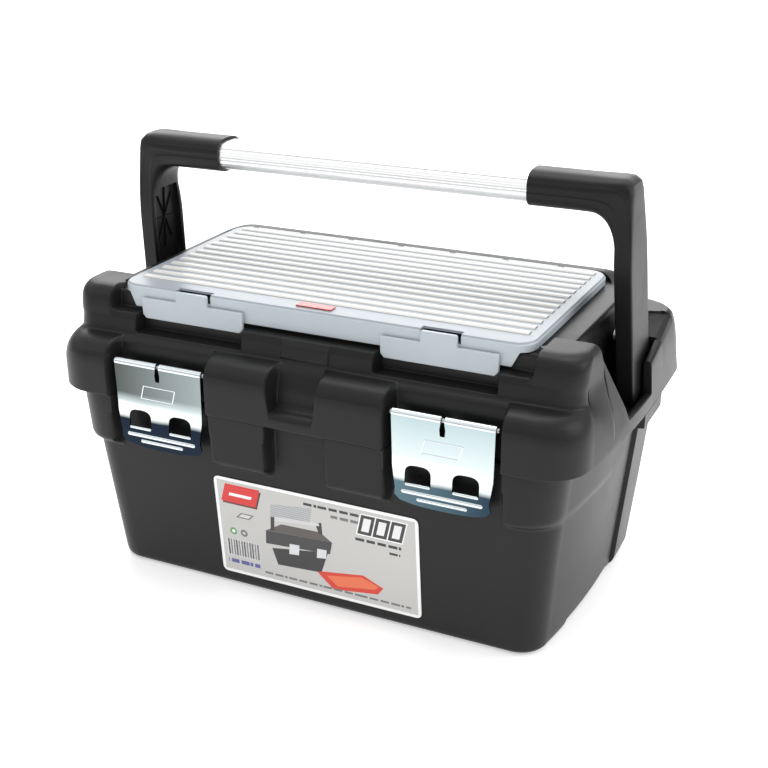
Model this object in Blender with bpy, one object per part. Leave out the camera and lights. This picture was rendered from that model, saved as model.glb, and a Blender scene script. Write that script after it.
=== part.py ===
"""Toolbox with a lift-out tray, an organiser lid and a folding tube handle.

Sizes are in millimetres and are turned into metres when a mesh is made. X runs along the
length, -Y is the front, +Z is up, and the origin is under the middle of the box on the floor.
"""
from math import cos, pi, sin

import bmesh
import bpy
import numpy as np

MM = 0.001

# Overall box
LENGTH = 450.0
DEPTH = 285.0
BULGE = 9.0            # how far each end curves in towards its front corner
REAR_BULGE = 3.0       # the same towards its rear corner
BULGE_SPAN = 115.0
GAP = 0.3              # between touching pieces
PART_LINE = 158.0      # height where the lid meets the tub
FRONT = -DEPTH / 2
HINGE_RADIUS = 6.2
HINGE_Y = DEPTH / 2 - HINGE_RADIUS
HINGE_PIN_RADIUS = 2.2
REAR = HINGE_Y - 11.3  # rear wall of the lid at the parting line

# Shell walls
TUB_WALL = 2.6
LID_WALL = 2.3
TRAY_WALL = 2.0
COVER_WALL = 1.8

# Lid heights
BUMPER_TOP = 202.0
FRAME_TOP = 232.0
BLOCK_TOP = 236.0
REAR_RIM_TOP = 238.0
RAMP_LOW = 195.0
RAMP_HIGH = 214.0
RAMP_START = 10.0
RAMP_SLOPE = 0.27
SLOT_FLOOR = 162.8
LIP_TOP = 171.0

# Arm slots in the lid ends, in Y
SLOT_FRONT = -43.0     # where the floor starts to rise towards the front block
SLOT_SLOPE = 2.15
BLOCK_REAR = -73.0
LIP_REAR = 9.0
SLOT_REAR = 39.0
DECK_HALF = LENGTH / 2 - 52.0      # half length of the frame round the organiser

# Corner radii of the lid's levels, from its foot up to the frame
LID_FRONT_RADII = [33, 33, 33, 30, 25, 20, 19, 18, 17, 17, 17, 17, 18, 18, 3, 3]
LID_REAR_RADII = [36, 36, 36, 36, 36, 36, 35, 34, 28, 24, 22, 22, 22, 22, 18, 4]
BOWED_LEVELS = 9       # above these the ends run straight

# Corner radii of the tub's levels, from its rim down to the floor
TUB_FRONT_RADII = [32, 32, 32, 32, 24, 23, 22, 21, 18]
TUB_REAR_RADIUS = 26.0
BRACKET_FRONT = -3.0   # the bracket and the pilaster on each end of the tub, in Y
BRACKET_REAR = 48.0
PILASTER_FRONT = 34.5
PILASTER_REAR = 78.0
PILASTER_PROUD = 3.0
TUB_NOTCH_HALF = 26.0

# Hinge eyes
HINGE_X = 120.0
LID_EYE = 18.0
TUB_EYE = 12.0
EYE_GAP = 0.5
WEB_FRONT = REAR - 3.5

# Organiser well
WELL_HALF = DECK_HALF - 9.5
WELL_FRONT = FRONT + 46.5
WELL_REAR = REAR - 57.0
WELL_FLOOR = 192.0
DIVIDER = 1.8

# Latches
LATCH_X = 117.8
LATCH_WIDTH = 77.8
LATCH_SIDE = 3.2       # clearance beside the latch in its pocket
LATCH_TOP = 186.3
LATCH_FOOT = 117.5
LATCH_SHEET = 1.5
LATCH_ROLL = 3.2
LATCH_PIN_RADIUS = 1.6
LATCH_Y = FRONT + 8.1
WINDOW_X = 18.2        # from the latch's middle to the middle of a window
WINDOW_HALF = 10.2
WINDOW_LOW = 134.6
WINDOW_HIGH = 149.6
LATCH_SLOT_HALF = 1.9
LUG_HALF = 1.4
POCKET_DEPTH = 18.5
NOTCH_HALF = 18.0
STEP = 1.5             # run of a moulded step

# Organiser cover
COVER_HALF = DECK_HALF - 4.0
COVER_FRONT = FRONT + 36.5
COVER_REAR = REAR - 51.0
COVER_TOP = 239.5
COVER_CORNER = 14.0
SKIRT_FOOT = 222.0
RIB_COUNT = 13
RIB_WIDTH = 7.0
RIB_HEIGHT = 1.2
RIB_FIRST = COVER_FRONT + 22.0
RIB_PITCH = (COVER_REAR - 11.6 - RIB_FIRST) / (RIB_COUNT - 1)
COVER_AXIS_Y = COVER_REAR + 1.5
COVER_AXIS_Z = 233.6
COVER_ROD_RADIUS = 0.9
COVER_ROD_HALF = 150.0
BADGE_LEFT = -16.0
BADGE_RIGHT = 13.0
BADGE_DEPTH = 8.0
BADGE_THICK = 0.8

# Clips
CLIP_X = 102.0
CLIP_WIDTH = 90.0
CLIP_SIDE = 1.5        # clearance beside the clip
CLIP_FOOT = 214.5
CLIP_HEIGHT = 16.0
CLIP_THICK = 3.2
CLIP_TAB = 28.0
CLIP_TAB_TOP = 239.4

# Handle
TUBE_Y = -1.0
TUBE_Z = 322.0
ARM_OUT_TOP = LENGTH / 2 - 18.0    # outer face of the arm at its top
TUBE_HALF = ARM_OUT_TOP - 53.5
TUBE_DEEP = 32.0
TUBE_TALL = 22.5
SLEEVE_GROW = 2.2
SLEEVE_END = TUBE_HALF - 23.2
ARM_SPLAY = 0.0525
ARM_THICK = 13.5
ARM_LEAN = 0.095
ARM_HALF = 22.0
ARM_FOOT = 168.0
HANDLE_PIVOT_Z = 212.0
HANDLE_PIN_RADIUS = 5.0

# Tray
TRAY_HALF = LENGTH / 2 - 41.0
TRAY_FRONT = FRONT + 31.5
TRAY_REAR = REAR - 33.0
TRAY_TOP = 153.5
TRAY_FLOOR = 112.0
TRAY_DRAFT = 6.0
TRAY_GRIP_TOP = 168.0
TRAY_RIM = 4.0
TRAY_GRIP_HALF = 55.0
TRAY_HAND_HALF = 48.0
TRAY_RIB_X = 95.0
LEDGE_X = 140.0
LEDGE_HALF = 12.0

# Label on the front wall
LABEL_LEFT = -80.0
LABEL_RIGHT = 94.5
LABEL_LOW = 13.0
LABEL_HIGH = 100.5
LABEL_THICK = 0.5

CORNER_STEPS = 6
ROUND_SIDES = 16


# ---------------------------------------------------------------- Blender helpers
def clear_scene():
    for item in list(bpy.data.objects):
        bpy.data.objects.remove(item, do_unlink=True)


def material(name, colour, roughness, metallic=0.0, alpha=1.0):
    made = bpy.data.materials.new(name)
    made.use_nodes = True
    shader = made.node_tree.nodes["Principled BSDF"]
    shader.inputs["Base Color"].default_value = (*colour, 1.0)
    shader.inputs["Roughness"].default_value = roughness
    shader.inputs["Metallic"].default_value = metallic
    shader.inputs["Alpha"].default_value = alpha
    made.diffuse_color = (*colour, alpha)
    return made


def new_object(name, mesh, finish=None):
    made = bpy.data.objects.new(name, mesh)
    bpy.context.scene.collection.objects.link(made)
    if finish:
        mesh.materials.clear()
        mesh.materials.append(finish)
    return made


def mesh_from(name, points, faces):
    """A mesh from points in millimetres; doubles are merged and all faces turned outwards."""
    mesh = bpy.data.meshes.new(name)
    mesh.from_pydata([tuple(MM * float(c) for c in p) for p in points], [], faces)
    work = bmesh.new()
    work.from_mesh(mesh)
    bmesh.ops.remove_doubles(work, verts=work.verts, dist=1e-6)
    bmesh.ops.recalc_face_normals(work, faces=work.faces)
    work.to_mesh(mesh)
    work.free()
    return mesh


def solid(name, points, faces, finish=None):
    return new_object(name, mesh_from(name, points, faces), finish)


def box(name, low, high, finish=None):
    points = [(x, y, z) for x in (low[0], high[0]) for y in (low[1], high[1])
              for z in (low[2], high[2])]
    faces = [(0, 1, 3, 2), (4, 6, 7, 5), (0, 4, 5, 1), (2, 3, 7, 6), (0, 2, 6, 4), (1, 5, 7, 3)]
    return solid(name, points, faces, finish)


def prism(name, outline, low, high, axis="y", finish=None):
    """An outline of two coordinates, extruded along the third from low to high."""
    def place(u, v, w):
        return {"x": (w, u, v), "y": (u, w, v), "z": (u, v, w)}[axis]
    count = len(outline)
    points = [place(u, v, low) for u, v in outline] + [place(u, v, high) for u, v in outline]
    faces = [tuple(range(count)), tuple(range(2 * count - 1, count - 1, -1))]
    faces += [(i, (i + 1) % count, count + (i + 1) % count, count + i) for i in range(count)]
    return solid(name, points, faces, finish)


def circle(cu, cv, radius, sides=ROUND_SIDES):
    return [(cu + radius * cos(2 * pi * i / sides), cv + radius * sin(2 * pi * i / sides))
            for i in range(sides)]


def rod(name, y, z, radius, low_x, high_x, finish=None, sides=ROUND_SIDES):
    return prism(name, circle(y, z, radius, sides), low_x, high_x, "x", finish)


def combine(target, tool, operation):
    """Applies one exact Boolean to the target and removes the tool."""
    change = target.modifiers.new("shape", "BOOLEAN")
    change.solver = "EXACT"
    change.operation = operation
    change.object = tool
    graph = bpy.context.evaluated_depsgraph_get()
    result = bpy.data.meshes.new_from_object(target.evaluated_get(graph))
    target.modifiers.clear()
    finish = target.data.materials[0] if target.data.materials else None
    target.data = result
    if finish:
        result.materials.clear()
        result.materials.append(finish)
    bpy.data.objects.remove(tool, do_unlink=True)


def join(target, tool):
    combine(target, tool, "UNION")


def cut(target, tool):
    combine(target, tool, "DIFFERENCE")


def hang(piece, joint_name, y, z, x=0.0):
    """Parents the piece to an empty on its joint's axis, without moving it."""
    pivot = bpy.data.objects.get(joint_name)
    if pivot is None:
        pivot = bpy.data.objects.new(joint_name, None)
        pivot.location = (x * MM, y * MM, z * MM)
        bpy.context.scene.collection.objects.link(pivot)
    piece.parent = pivot
    piece.location = [-c for c in pivot.location]


# ---------------------------------------------------------------- thin shells
def ease(value, low, high):
    t = min(max((value - low) / (high - low), 0.0), 1.0)
    return t * t * (3 - 2 * t)


def wall_offset(work, wall):
    """For each vertex, the step inwards that lies one wall behind all faces round it."""
    steps = {}
    for vert in work.verts:
        normals, weights = [], []
        for loop in vert.link_loops:
            if loop.face.calc_area() > 1e-5:
                normals.append(loop.face.normal)
                weights.append(loop.calc_angle())
        matrix = np.array(normals)
        scaled = matrix * np.array(weights)[:, None]
        step = np.linalg.solve(scaled.T @ matrix + 0.01 * np.eye(3), scaled.sum(axis=0) * wall)
        length = np.linalg.norm(step)
        steps[vert.index] = -step * min(1.0, 1.8 * wall / max(length, 1e-9))
    return steps


def ring_shell(name, rings, wall, finish):
    """A closed shell from rings of equal count. The first ring is the open edge and the last
    one is capped; the inner skin lies one wall inside the outer one."""
    if rings[-1][0][2] < rings[0][0][2]:
        rings = [ring[::-1] for ring in rings]
    count = len(rings[0])
    points = [p for ring in rings for p in ring]
    middle = np.mean(np.array(rings[-1]), axis=0)
    points.append(tuple(middle))
    faces = []
    for k in range(len(rings) - 1):
        for i in range(count):
            a, b = k * count + i, k * count + (i + 1) % count
            faces += [(a, b, b + count), (a, b + count, a + count)]
    last = (len(rings) - 1) * count
    faces += [(last + i, last + (i + 1) % count, len(points) - 1) for i in range(count)]
    work = bmesh.new()
    verts = [work.verts.new(p) for p in points]
    for face in faces:
        work.faces.new([verts[i] for i in face])
    bmesh.ops.remove_doubles(work, verts=work.verts, dist=0.02)
    bmesh.ops.dissolve_degenerate(work, edges=work.edges, dist=0.01)
    bmesh.ops.triangulate(work, faces=work.faces)
    work.normal_update()
    work.verts.index_update()
    outer = [tuple(v.co) for v in work.verts]
    steps = wall_offset(work, wall)
    inner = [tuple(np.array(outer[i]) + steps[i]) for i in range(len(outer))]
    skin = [tuple(v.index for v in f.verts) for f in work.faces]
    size = len(outer)
    closed = skin + [tuple(size + i for i in reversed(face)) for face in skin]
    for edge in work.edges:
        if edge.is_boundary:
            loop = edge.link_loops[0]
            a, b = loop.vert.index, loop.link_loop_next.vert.index
            closed.append((b, a, size + a, size + b))
    # The open edge stays level: its inner points take the height of the outer ones.
    level = rings[0][0][2]
    flat = {v.index for v in work.verts if v.is_boundary}
    inner = [(p[0], p[1], outer[i][2]) if i in flat and abs(outer[i][2] - level) < 0.5 else p
             for i, p in enumerate(inner)]
    work.free()
    return solid(name, outer + inner, closed, finish)


def end_x(y, inset, bulge=BULGE):
    if y > 0:
        bulge *= REAR_BULGE / BULGE
    return LENGTH / 2 - bulge * (y / BULGE_SPAN) ** 2 - inset


def half_ring(fronts, end, rear, level):
    """Right half of a ring, from the front middle to the rear middle.

    fronts: list of (x, inset, z); end: dict with the corner values and list of (y, inset, z);
    rear: list of (x, inset, z). Corners are arcs between the end's and the side's insets.
    """
    front_r, rear_r, bulge = level
    points = []
    _, fin, fz = fronts[-1]
    ein, ez = end["front"]
    cy = FRONT + fin + front_r
    cx = end_x(cy, ein, bulge) - front_r
    for x, inset, z in fronts:
        points.append((min(x, cx), FRONT + inset, z))
    for i in range(CORNER_STEPS + 1):
        turn = pi / 2 * (1 - i / CORNER_STEPS)
        mix = ease(turn / (pi / 2), 0.0, 1.0)
        points.append((cx + front_r * cos(turn), cy - front_r * sin(turn), ez + (fz - ez) * mix))
    rin, rz = rear[0][1], rear[0][2]
    back_in, bz = end["rear"]
    by = REAR - rin - rear_r
    bx = end_x(by, back_in, bulge) - rear_r
    for y, inset, z in end["list"]:
        yy = min(max(y, cy), by)
        points.append((end_x(yy, inset, bulge), yy, z))
    for i in range(CORNER_STEPS + 1):
        turn = pi / 2 * i / CORNER_STEPS
        mix = ease(turn / (pi / 2), 0.0, 1.0)
        points.append((bx + rear_r * cos(turn), by + rear_r * sin(turn), bz + (rz - bz) * mix))
    for x, inset, z in rear[1:]:
        points.append((min(x, bx), REAR - inset, z))
    return points


def whole_ring(half):
    return half + [(-x, y, z) for x, y, z in reversed(half)]


# ---------------------------------------------------------------- lid
def latch_pocket(x):
    half = LATCH_WIDTH / 2 + LATCH_SIDE
    return abs(x - LATCH_X) < half + STEP / 2


def ramp_z(y):
    return min(RAMP_LOW + RAMP_SLOPE * (y - RAMP_START), RAMP_HIGH)


def lid_profiles():
    """Each region's outer profile, as (inset, height) at the same levels."""
    foot = PART_LINE + GAP
    deck_wall = [(34.5, 215), (36, 229), (37.5, 231.5), (39, FRAME_TOP)]
    bumper = [(0, foot), (0, 186), (1.9, 193.5), (7, 199), (14, BUMPER_TOP - 0.8),
              (24, BUMPER_TOP), (24.8, 204.4), (25, 205.2), (26.5, 213.8), (26.8, 214.6)]
    under_cover = [(28, 219), (39.5, 219.5), (40.5, 231), (42, FRAME_TOP), (43, FRAME_TOP),
                   (44, FRAME_TOP)]
    front_block = [(28, 220), (31, 228), (38, 234), (48, BLOCK_TOP), (48.5, BLOCK_TOP),
                   (44, FRAME_TOP)]
    block = [(0, foot), (0, 166), (0.3, 174), (1.6, 182), (3.3, 189), (5, 195), (6.5, 200.5),
             (8, 206), (9.5, 211.5), (10.8, 216.5), (12, 222), (14, 229), (16.5, 233.5),
             (20, BLOCK_TOP), (LENGTH / 2 - DECK_HALF - 1.5, BLOCK_TOP)]
    near_front = [(0, foot), (0, 180), (1.5, 188), (4, 193.5), (6.5, 197), (8.5, 199.5),
                  (9.5, 201.5), (10, 204), (10.5, 210), (11, 215), (12, 222), (13.5, 229),
                  (16, 233.5), (20, BLOCK_TOP), (LENGTH / 2 - DECK_HALF - 1.5, BLOCK_TOP)]
    slot_wall = [(31, SLOT_FLOOR), (32, SLOT_FLOOR + 1.2)] + deck_wall
    return {"bumper": bumper, "under_cover": under_cover, "front_block": front_block,
            "block": block, "near_front": near_front, "slot_wall": slot_wall}


def slot_profile(y, block):
    """The arm slot with the lip outside it. Its floor climbs towards the front block."""
    floor = SLOT_FLOOR + SLOT_SLOPE * max(0.0, SLOT_FRONT - y)
    top, foot = max(LIP_TOP, floor + 1.5), PART_LINE + GAP
    insets, heights = zip(*block)
    levels = [foot, min(168, foot + 0.35 * (top - foot)), min(187, foot + 0.65 * (top - foot)),
              foot + 0.88 * (top - foot), top]
    outer = [(np.interp(z, heights[:14], insets[:14]), z) for z in levels]
    lip = outer[-1][0]
    return outer + [(lip + 5, top), (lip + 6, max(top - 1.5, floor + 0.5)),
                    (lip + 6.8, floor + 0.4), (lip + 8, floor), (31, floor), (32, floor + 1.2),
                    (34.5, max(215, floor + 1.8)), (36, max(229, floor + 2.4)),
                    (37.5, max(231.5, floor + 3)), (39, max(FRAME_TOP, floor + 3.5))]


def strip_profile(y):
    """The wall and its top beside the rear half of the arm slot."""
    top, foot = ramp_z(y), PART_LINE + GAP
    return [(0, foot), (0.5, 168), (1, 177), (2, top - 4), (3.2, top), (7.8, top),
            (8.4, top - 1.5), (8.8, SLOT_FLOOR + 1), (10, SLOT_FLOOR)]


def ramp_profile(y):
    top, foot = ramp_z(y), PART_LINE + GAP
    shares = [0, 0.22, 0.42, 0.58, 0.72, 0.85, 0.95, 1, 1, 1, 1]
    insets = [0, 0.5, 1, 1.5, 2.2, 3.2, 5, 8, 12, 30, 34.5]
    rise = [(inset, foot + share * (top - foot)) for inset, share in zip(insets, shares)]
    return rise + [(35, 218), (36, 229), (37.5, 231.5), (39, FRAME_TOP)]


def rear_profile(block):
    foot = PART_LINE + GAP
    low = [(0, foot), (4, 170), (6.5, 178), (8.5, 185), (10.5, 191), (12.5, 197)]
    if block:
        high = [(15, 204.5), (18.5, 209.2), (22, RAMP_HIGH - 1), (33, RAMP_HIGH),
                (36.5, RAMP_HIGH + 0.5),
                (37, 220), (37.5, 230), (38.2, 236.5), (39.5, REAR_RIM_TOP)]
    else:
        high = [(15, 203), (17, 207.5), (19.5, 212), (22, 216), (26, 222), (31, 229),
                (35.5, 234.5), (38.5, 237.5), (39.5, REAR_RIM_TOP)]
    return low + high + [(REAR - 77.6, REAR_RIM_TOP)]


def lid_front(x, k, tables):
    """Inset and height of the lid's front at x on level k."""
    under = x < COVER_HALF + 3
    inset, z = (tables["bumper"] + tables["under_cover" if under else "front_block"])[k]
    if k <= 4 and latch_pocket(x):
        pocket = [(POCKET_DEPTH, z), (POCKET_DEPTH, 186), (POCKET_DEPTH, 190), (19, 195),
                  (20, 199.5)]
        inset, z = pocket[k]
    if k in (1, 2, 3, 4, 5) and x < NOTCH_HALF + 0.5:
        inset, z = [(0, 169.5), (12, 171), (14, 185), (19, 199), (24, 203)][k - 1]
    if 7 <= k <= 10 and abs(x - CLIP_X) < CLIP_WIDTH / 2 + CLIP_SIDE:
        inset = 37.0
    return inset, z


def lid_end(y, k, tables):
    deck = LENGTH / 2 - DECK_HALF
    if k == 15:
        return deck, FRAME_TOP
    if y < BLOCK_REAR:
        inset, z = tables["block"][k]
        near = tables["near_front"][k]
        share = 1 - ease(y, FRONT + 30, FRONT + 66)
        return inset + share * (near[0] - inset), z + share * (near[1] - z)
    if y < LIP_REAR:
        return slot_profile(y, tables["block"])[k]
    if y < SLOT_REAR:
        return (strip_profile(y) + tables["slot_wall"])[k]
    return ramp_profile(y)[k]


def lid_rings():
    tables = lid_profiles()
    pocket_half = LATCH_WIDTH / 2 + LATCH_SIDE
    clip_half = CLIP_WIDTH / 2 + CLIP_SIDE
    front_x = [NOTCH_HALF, NOTCH_HALF + 2, LATCH_X - pocket_half - STEP, LATCH_X - pocket_half,
               LATCH_X + pocket_half, LATCH_X + pocket_half + STEP, CLIP_X - clip_half - STEP,
               CLIP_X - clip_half + 0.1, CLIP_X + clip_half - 0.1, CLIP_X + clip_half + STEP,
               COVER_HALF + 2, COVER_HALF + 5]
    front_x.sort()
    end_y = [-90, BLOCK_REAR - STEP, BLOCK_REAR, (BLOCK_REAR + SLOT_FRONT) / 2, SLOT_FRONT,
             LIP_REAR - 1, LIP_REAR + 1, SLOT_REAR - 1, SLOT_REAR + 1, 62]
    rings = []
    for k in range(len(LID_FRONT_RADII)):
        bulge = BULGE if k < BOWED_LEVELS else 0.0
        fronts = [(x, *lid_front(x, k, tables)) for x in front_x]
        corner = {"front": lid_end(FRONT + 34, k, tables), "rear": ramp_or_deck(k),
                  "list": [(y, *lid_end(y, k, tables)) for y in end_y]}
        rear = [(0, *rear_profile(True)[k]), (REAR + 47, *rear_profile(False)[k])]
        level = (LID_FRONT_RADII[k], LID_REAR_RADII[k], bulge)
        rings.append(whole_ring(half_ring(fronts, corner, rear, level)))
    deck = LENGTH / 2 - DECK_HALF
    for ends, front, back, z, radius in (
            (deck + 0.8, 44.8, REAR - 76.8, FRAME_TOP, 3),
            (LENGTH / 2 - WELL_HALF, WELL_FRONT - FRONT, REAR - WELL_REAR, FRAME_TOP, 6),
            (LENGTH / 2 - WELL_HALF + 2, WELL_FRONT - FRONT + 2, REAR - WELL_REAR + 2,
             WELL_FLOOR, 6)):
        fronts = [(x, front, z) for x in front_x]
        corner = {"front": (ends, z), "rear": (ends, z), "list": [(y, ends, z) for y in end_y]}
        rear = [(0, back, z), (REAR + 47, back, z)]
        rings.append(whole_ring(half_ring(fronts, corner, rear, (radius, radius, 0.0))))
    return rings


def ramp_or_deck(k):
    if k == 15:
        return LENGTH / 2 - DECK_HALF, FRAME_TOP
    return ramp_profile(REAR)[k]


def knuckle(name, centre_x, width, web_low, web_high):
    """A hinge eye round the lid's axis, with the web that carries it."""
    low, high = centre_x - width / 2, centre_x + width / 2
    eye = rod(name, HINGE_Y, PART_LINE, HINGE_RADIUS, low, high)
    join(eye, box(name + "_web", (low, WEB_FRONT, web_low), (high, HINGE_Y - 2, web_high)))
    cut(eye, rod(name + "_hole", HINGE_Y, PART_LINE, HINGE_PIN_RADIUS + GAP, low - 1, high + 1))
    return eye


def make_lid(finish):
    lid = ring_shell("lid_shell", lid_rings(), LID_WALL, finish)
    for side in (-1, 1):
        join(lid, knuckle("eye", side * HINGE_X, LID_EYE, PART_LINE + 1, PART_LINE + 5.5))
        lug_x = side * LATCH_X
        lug = box("lug", (lug_x - LUG_HALF, LATCH_Y - 2.9, LATCH_TOP - 3.5),
                  (lug_x + LUG_HALF, FRONT + POCKET_DEPTH + 1.5, LATCH_TOP + 3.5))
        cut(lug, rod("hole", LATCH_Y, LATCH_TOP, LATCH_PIN_RADIUS + GAP, lug_x - 3, lug_x + 3))
        join(lid, lug)
    return lid


# ---------------------------------------------------------------- tub
def tub_front(x, k):
    rim = PART_LINE - GAP
    wall = [(16, 111.5), (20, 60), (24, 8), (25, 3), (30, 0)]
    belt = [(3.5, rim), (3.5, 146), (3.5, 143.5), (3.5, 118)] + wall
    gap = [(15, rim), (15, 146), (15.2, 143.5), (15.6, 118)] + wall
    open_here = latch_pocket(x) or x < TUB_NOTCH_HALF
    return (gap if open_here else belt)[k]


def tub_end(y, k):
    rim = PART_LINE - GAP
    wall = [(15.5, rim), (16.5, 146), (16.8, 143.5), (19.3, 118), (20, 111.5), (25.5, 60),
            (31, 8), (32, 3), (37, 0)]
    inset, z = wall[k]
    if y < -18 and k <= 3:
        inset -= 2.5
    if BRACKET_FRONT < y < BRACKET_REAR and k <= 1:
        inset = 1.2 + 0.3 * k
    if PILASTER_FRONT < y < PILASTER_REAR and 2 <= k <= 6:
        inset -= PILASTER_PROUD
    if -66 < y < 30 and k >= 7:
        inset, z = (32, 6.5) if k == 7 else (43, 0)
    return inset, z


def tub_rear(x, k):
    rim = PART_LINE - GAP
    wall = [(16, rim), (16.4, 146), (17, 143.5), (18.5, 118), (19, 111.5), (23, 60), (27, 8),
            (28, 3), (33, 0)]
    if x < 180 and k <= 1:
        return (1.0 + 0.2 * k, wall[k][1])
    return wall[k]


def tub_rings():
    pocket_half = LATCH_WIDTH / 2 + LATCH_SIDE
    front_x = [TUB_NOTCH_HALF - 1, TUB_NOTCH_HALF + 1, LATCH_X - pocket_half - STEP, LATCH_X - pocket_half,
               LATCH_X + pocket_half, LATCH_X + pocket_half + STEP]
    end_y = [-85, -67, -65, -19, -17, -3.5, -2, 34, 35.5, 47, 48.5, 77, 78.5]
    rings = []
    for k in range(len(TUB_FRONT_RADII)):
        fronts = [(x, *tub_front(x, k)) for x in front_x]
        corner = {"front": tub_end(FRONT + 34, k), "rear": tub_end(REAR, k),
                  "list": [(y, *tub_end(y, k)) for y in end_y]}
        rear = [(0, *tub_rear(200, k)), (REAR + 43, *tub_rear(170, k))]
        level = (TUB_FRONT_RADII[k], TUB_REAR_RADIUS, BULGE + 1)
        rings.append(whole_ring(half_ring(fronts, corner, rear, level)))
    return rings


def make_tub(finish):
    tub = ring_shell("body_tub", tub_rings(), TUB_WALL, finish)
    for side in (-1, 1):
        for eye_side in (-1, 1):
            x = side * HINGE_X + eye_side * (LID_EYE / 2 + EYE_GAP + TUB_EYE / 2)
            join(tub, knuckle("eye", x, TUB_EYE, PART_LINE - 6, PART_LINE - 1.3))
        x = side * LEDGE_X
        for low, high in ((FRONT + 17.5, TRAY_FRONT + 8), (TRAY_REAR - 8, REAR - 20.2)):
            join(tub, box("ledge", (x - LEDGE_HALF, low, TRAY_FLOOR - 6),
                          (x + LEDGE_HALF, high, TRAY_FLOOR - GAP)))
    return tub


# ---------------------------------------------------------------- organiser cover and clips
def plain_ring(half_x, front, rear, radius, z_front, z_back, steps=4):
    """A rounded rectangle; its straight front edge may lie at another height than the rest."""
    points = []
    corners = [(half_x - radius, front + radius, -pi / 2), (half_x - radius, rear - radius, 0),
               (radius - half_x, rear - radius, pi / 2), (radius - half_x, front + radius, pi)]
    for cx, cy, start in corners:
        for i in range(steps + 1):
            turn = start + pi / 2 * i / steps
            y = cy + radius * sin(turn)
            z = z_front if y < front + 0.01 else z_back
            points.append((cx + radius * cos(turn), y, z))
    return points


def make_cover(finish):
    skirt = FRAME_TOP + GAP + 0.2
    rings = [plain_ring(COVER_HALF, COVER_FRONT, COVER_REAR, COVER_CORNER, SKIRT_FOOT,
                        skirt),
             plain_ring(COVER_HALF, COVER_FRONT, COVER_REAR, COVER_CORNER, COVER_TOP - 2,
                        COVER_TOP - 2),
             plain_ring(COVER_HALF - 1.4, COVER_FRONT + 1.4, COVER_REAR - 1.4,
                        COVER_CORNER - 1, COVER_TOP, COVER_TOP)]
    cover = ring_shell("organiser_cover", rings, COVER_WALL, finish)
    for i in range(RIB_COUNT):
        y = RIB_FIRST + RIB_PITCH * i
        top, foot = COVER_TOP + RIB_HEIGHT, COVER_TOP - COVER_WALL / 2
        outline = [(y - RIB_WIDTH / 2, foot), (y + RIB_WIDTH / 2, foot),
                   (y + RIB_WIDTH / 2, COVER_TOP + 0.3), (y + RIB_WIDTH / 4, top),
                   (y - RIB_WIDTH / 4, top), (y - RIB_WIDTH / 2, COVER_TOP + 0.3)]
        join(cover, prism("rib", outline, -COVER_HALF + 9, COVER_HALF - 9, "x"))
    for side in (-1, 1):
        x = side * CLIP_X
        cut(cover, box("tab_room", (x - CLIP_TAB / 2 - 1.5, COVER_FRONT - 2, CLIP_FOOT + 15),
                       (x + CLIP_TAB / 2 + 1.5, COVER_FRONT + 6.5, COVER_TOP + 3)))
    hang(cover, "cover_hinge", COVER_AXIS_Y, COVER_AXIS_Z)
    return cover


def make_clip(name, side, finish):
    x, back = side * CLIP_X, COVER_FRONT - 0.4
    half, tab = CLIP_WIDTH / 2, CLIP_TAB / 2
    shoulder = CLIP_FOOT + CLIP_HEIGHT
    outline = [(x - half + 3, CLIP_FOOT), (x + half - 3, CLIP_FOOT), (x + half, CLIP_FOOT + 3),
               (x + half, shoulder), (x + tab, shoulder), (x + tab, CLIP_TAB_TOP - 1),
               (x + tab - 1, CLIP_TAB_TOP), (x - tab + 1, CLIP_TAB_TOP),
               (x - tab, CLIP_TAB_TOP - 1), (x - tab, shoulder), (x - half, shoulder),
               (x - half, CLIP_FOOT + 3)]
    clip = prism(name, outline, back - CLIP_THICK, back, "y", finish)
    hang(clip, "clip_hinge_" + name[-5:].strip("_"), back - CLIP_THICK / 2, CLIP_FOOT + 15.5, x)
    return clip


# ---------------------------------------------------------------- latches
def window(x, low, high, half):
    """A latch window: flat foot, arched head."""
    arch = [(x + half * cos(a), high - half * 0.55 + half * 0.55 * sin(a))
            for a in np.linspace(0, pi, 7)]
    return [(x - half, low), (x + half, low)] + arch


def make_latch(name, side, finish):
    x, half = side * LATCH_X, LATCH_WIDTH / 2
    face = LATCH_Y - LATCH_ROLL
    bend = LATCH_FOOT + 5.5
    outline = [(x - half + 5, bend - 2.5)]
    outline += [(x + (half - 5) * t, bend - 2.5 - 3.0 * (1 - t * t))
                for t in (-0.6, -0.2, 0.2, 0.6)]
    outline += [(x + half - 5, bend - 2.5), (x + half - 0.8, bend + 2), (x + half, LATCH_TOP),
                (x - half, LATCH_TOP), (x - half + 0.8, bend + 2)]
    plate = prism(name, outline, face, face + LATCH_SHEET, "y", finish)
    roll = rod("roll", LATCH_Y, LATCH_TOP, LATCH_ROLL, x - half, x + half)
    join(plate, roll)
    cut(plate, rod("bore", LATCH_Y, LATCH_TOP, LATCH_PIN_RADIUS + GAP, x - half - 1,
                   x + half + 1))
    for offset in (-WINDOW_X, WINDOW_X):
        opening = window(x + offset, WINDOW_LOW, WINDOW_HIGH, WINDOW_HALF)
        cut(plate, prism("window", opening, face - 3, face + 4, "y"))
    cut(plate, box("slot", (x - LATCH_SLOT_HALF, face - 3, LATCH_TOP - 6.5),
                   (x + LATCH_SLOT_HALF, LATCH_Y + 5, LATCH_TOP + 5)))
    hang(plate, "latch_hinge_" + name.split("_")[-1], LATCH_Y, LATCH_TOP, x)
    return plate


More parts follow.
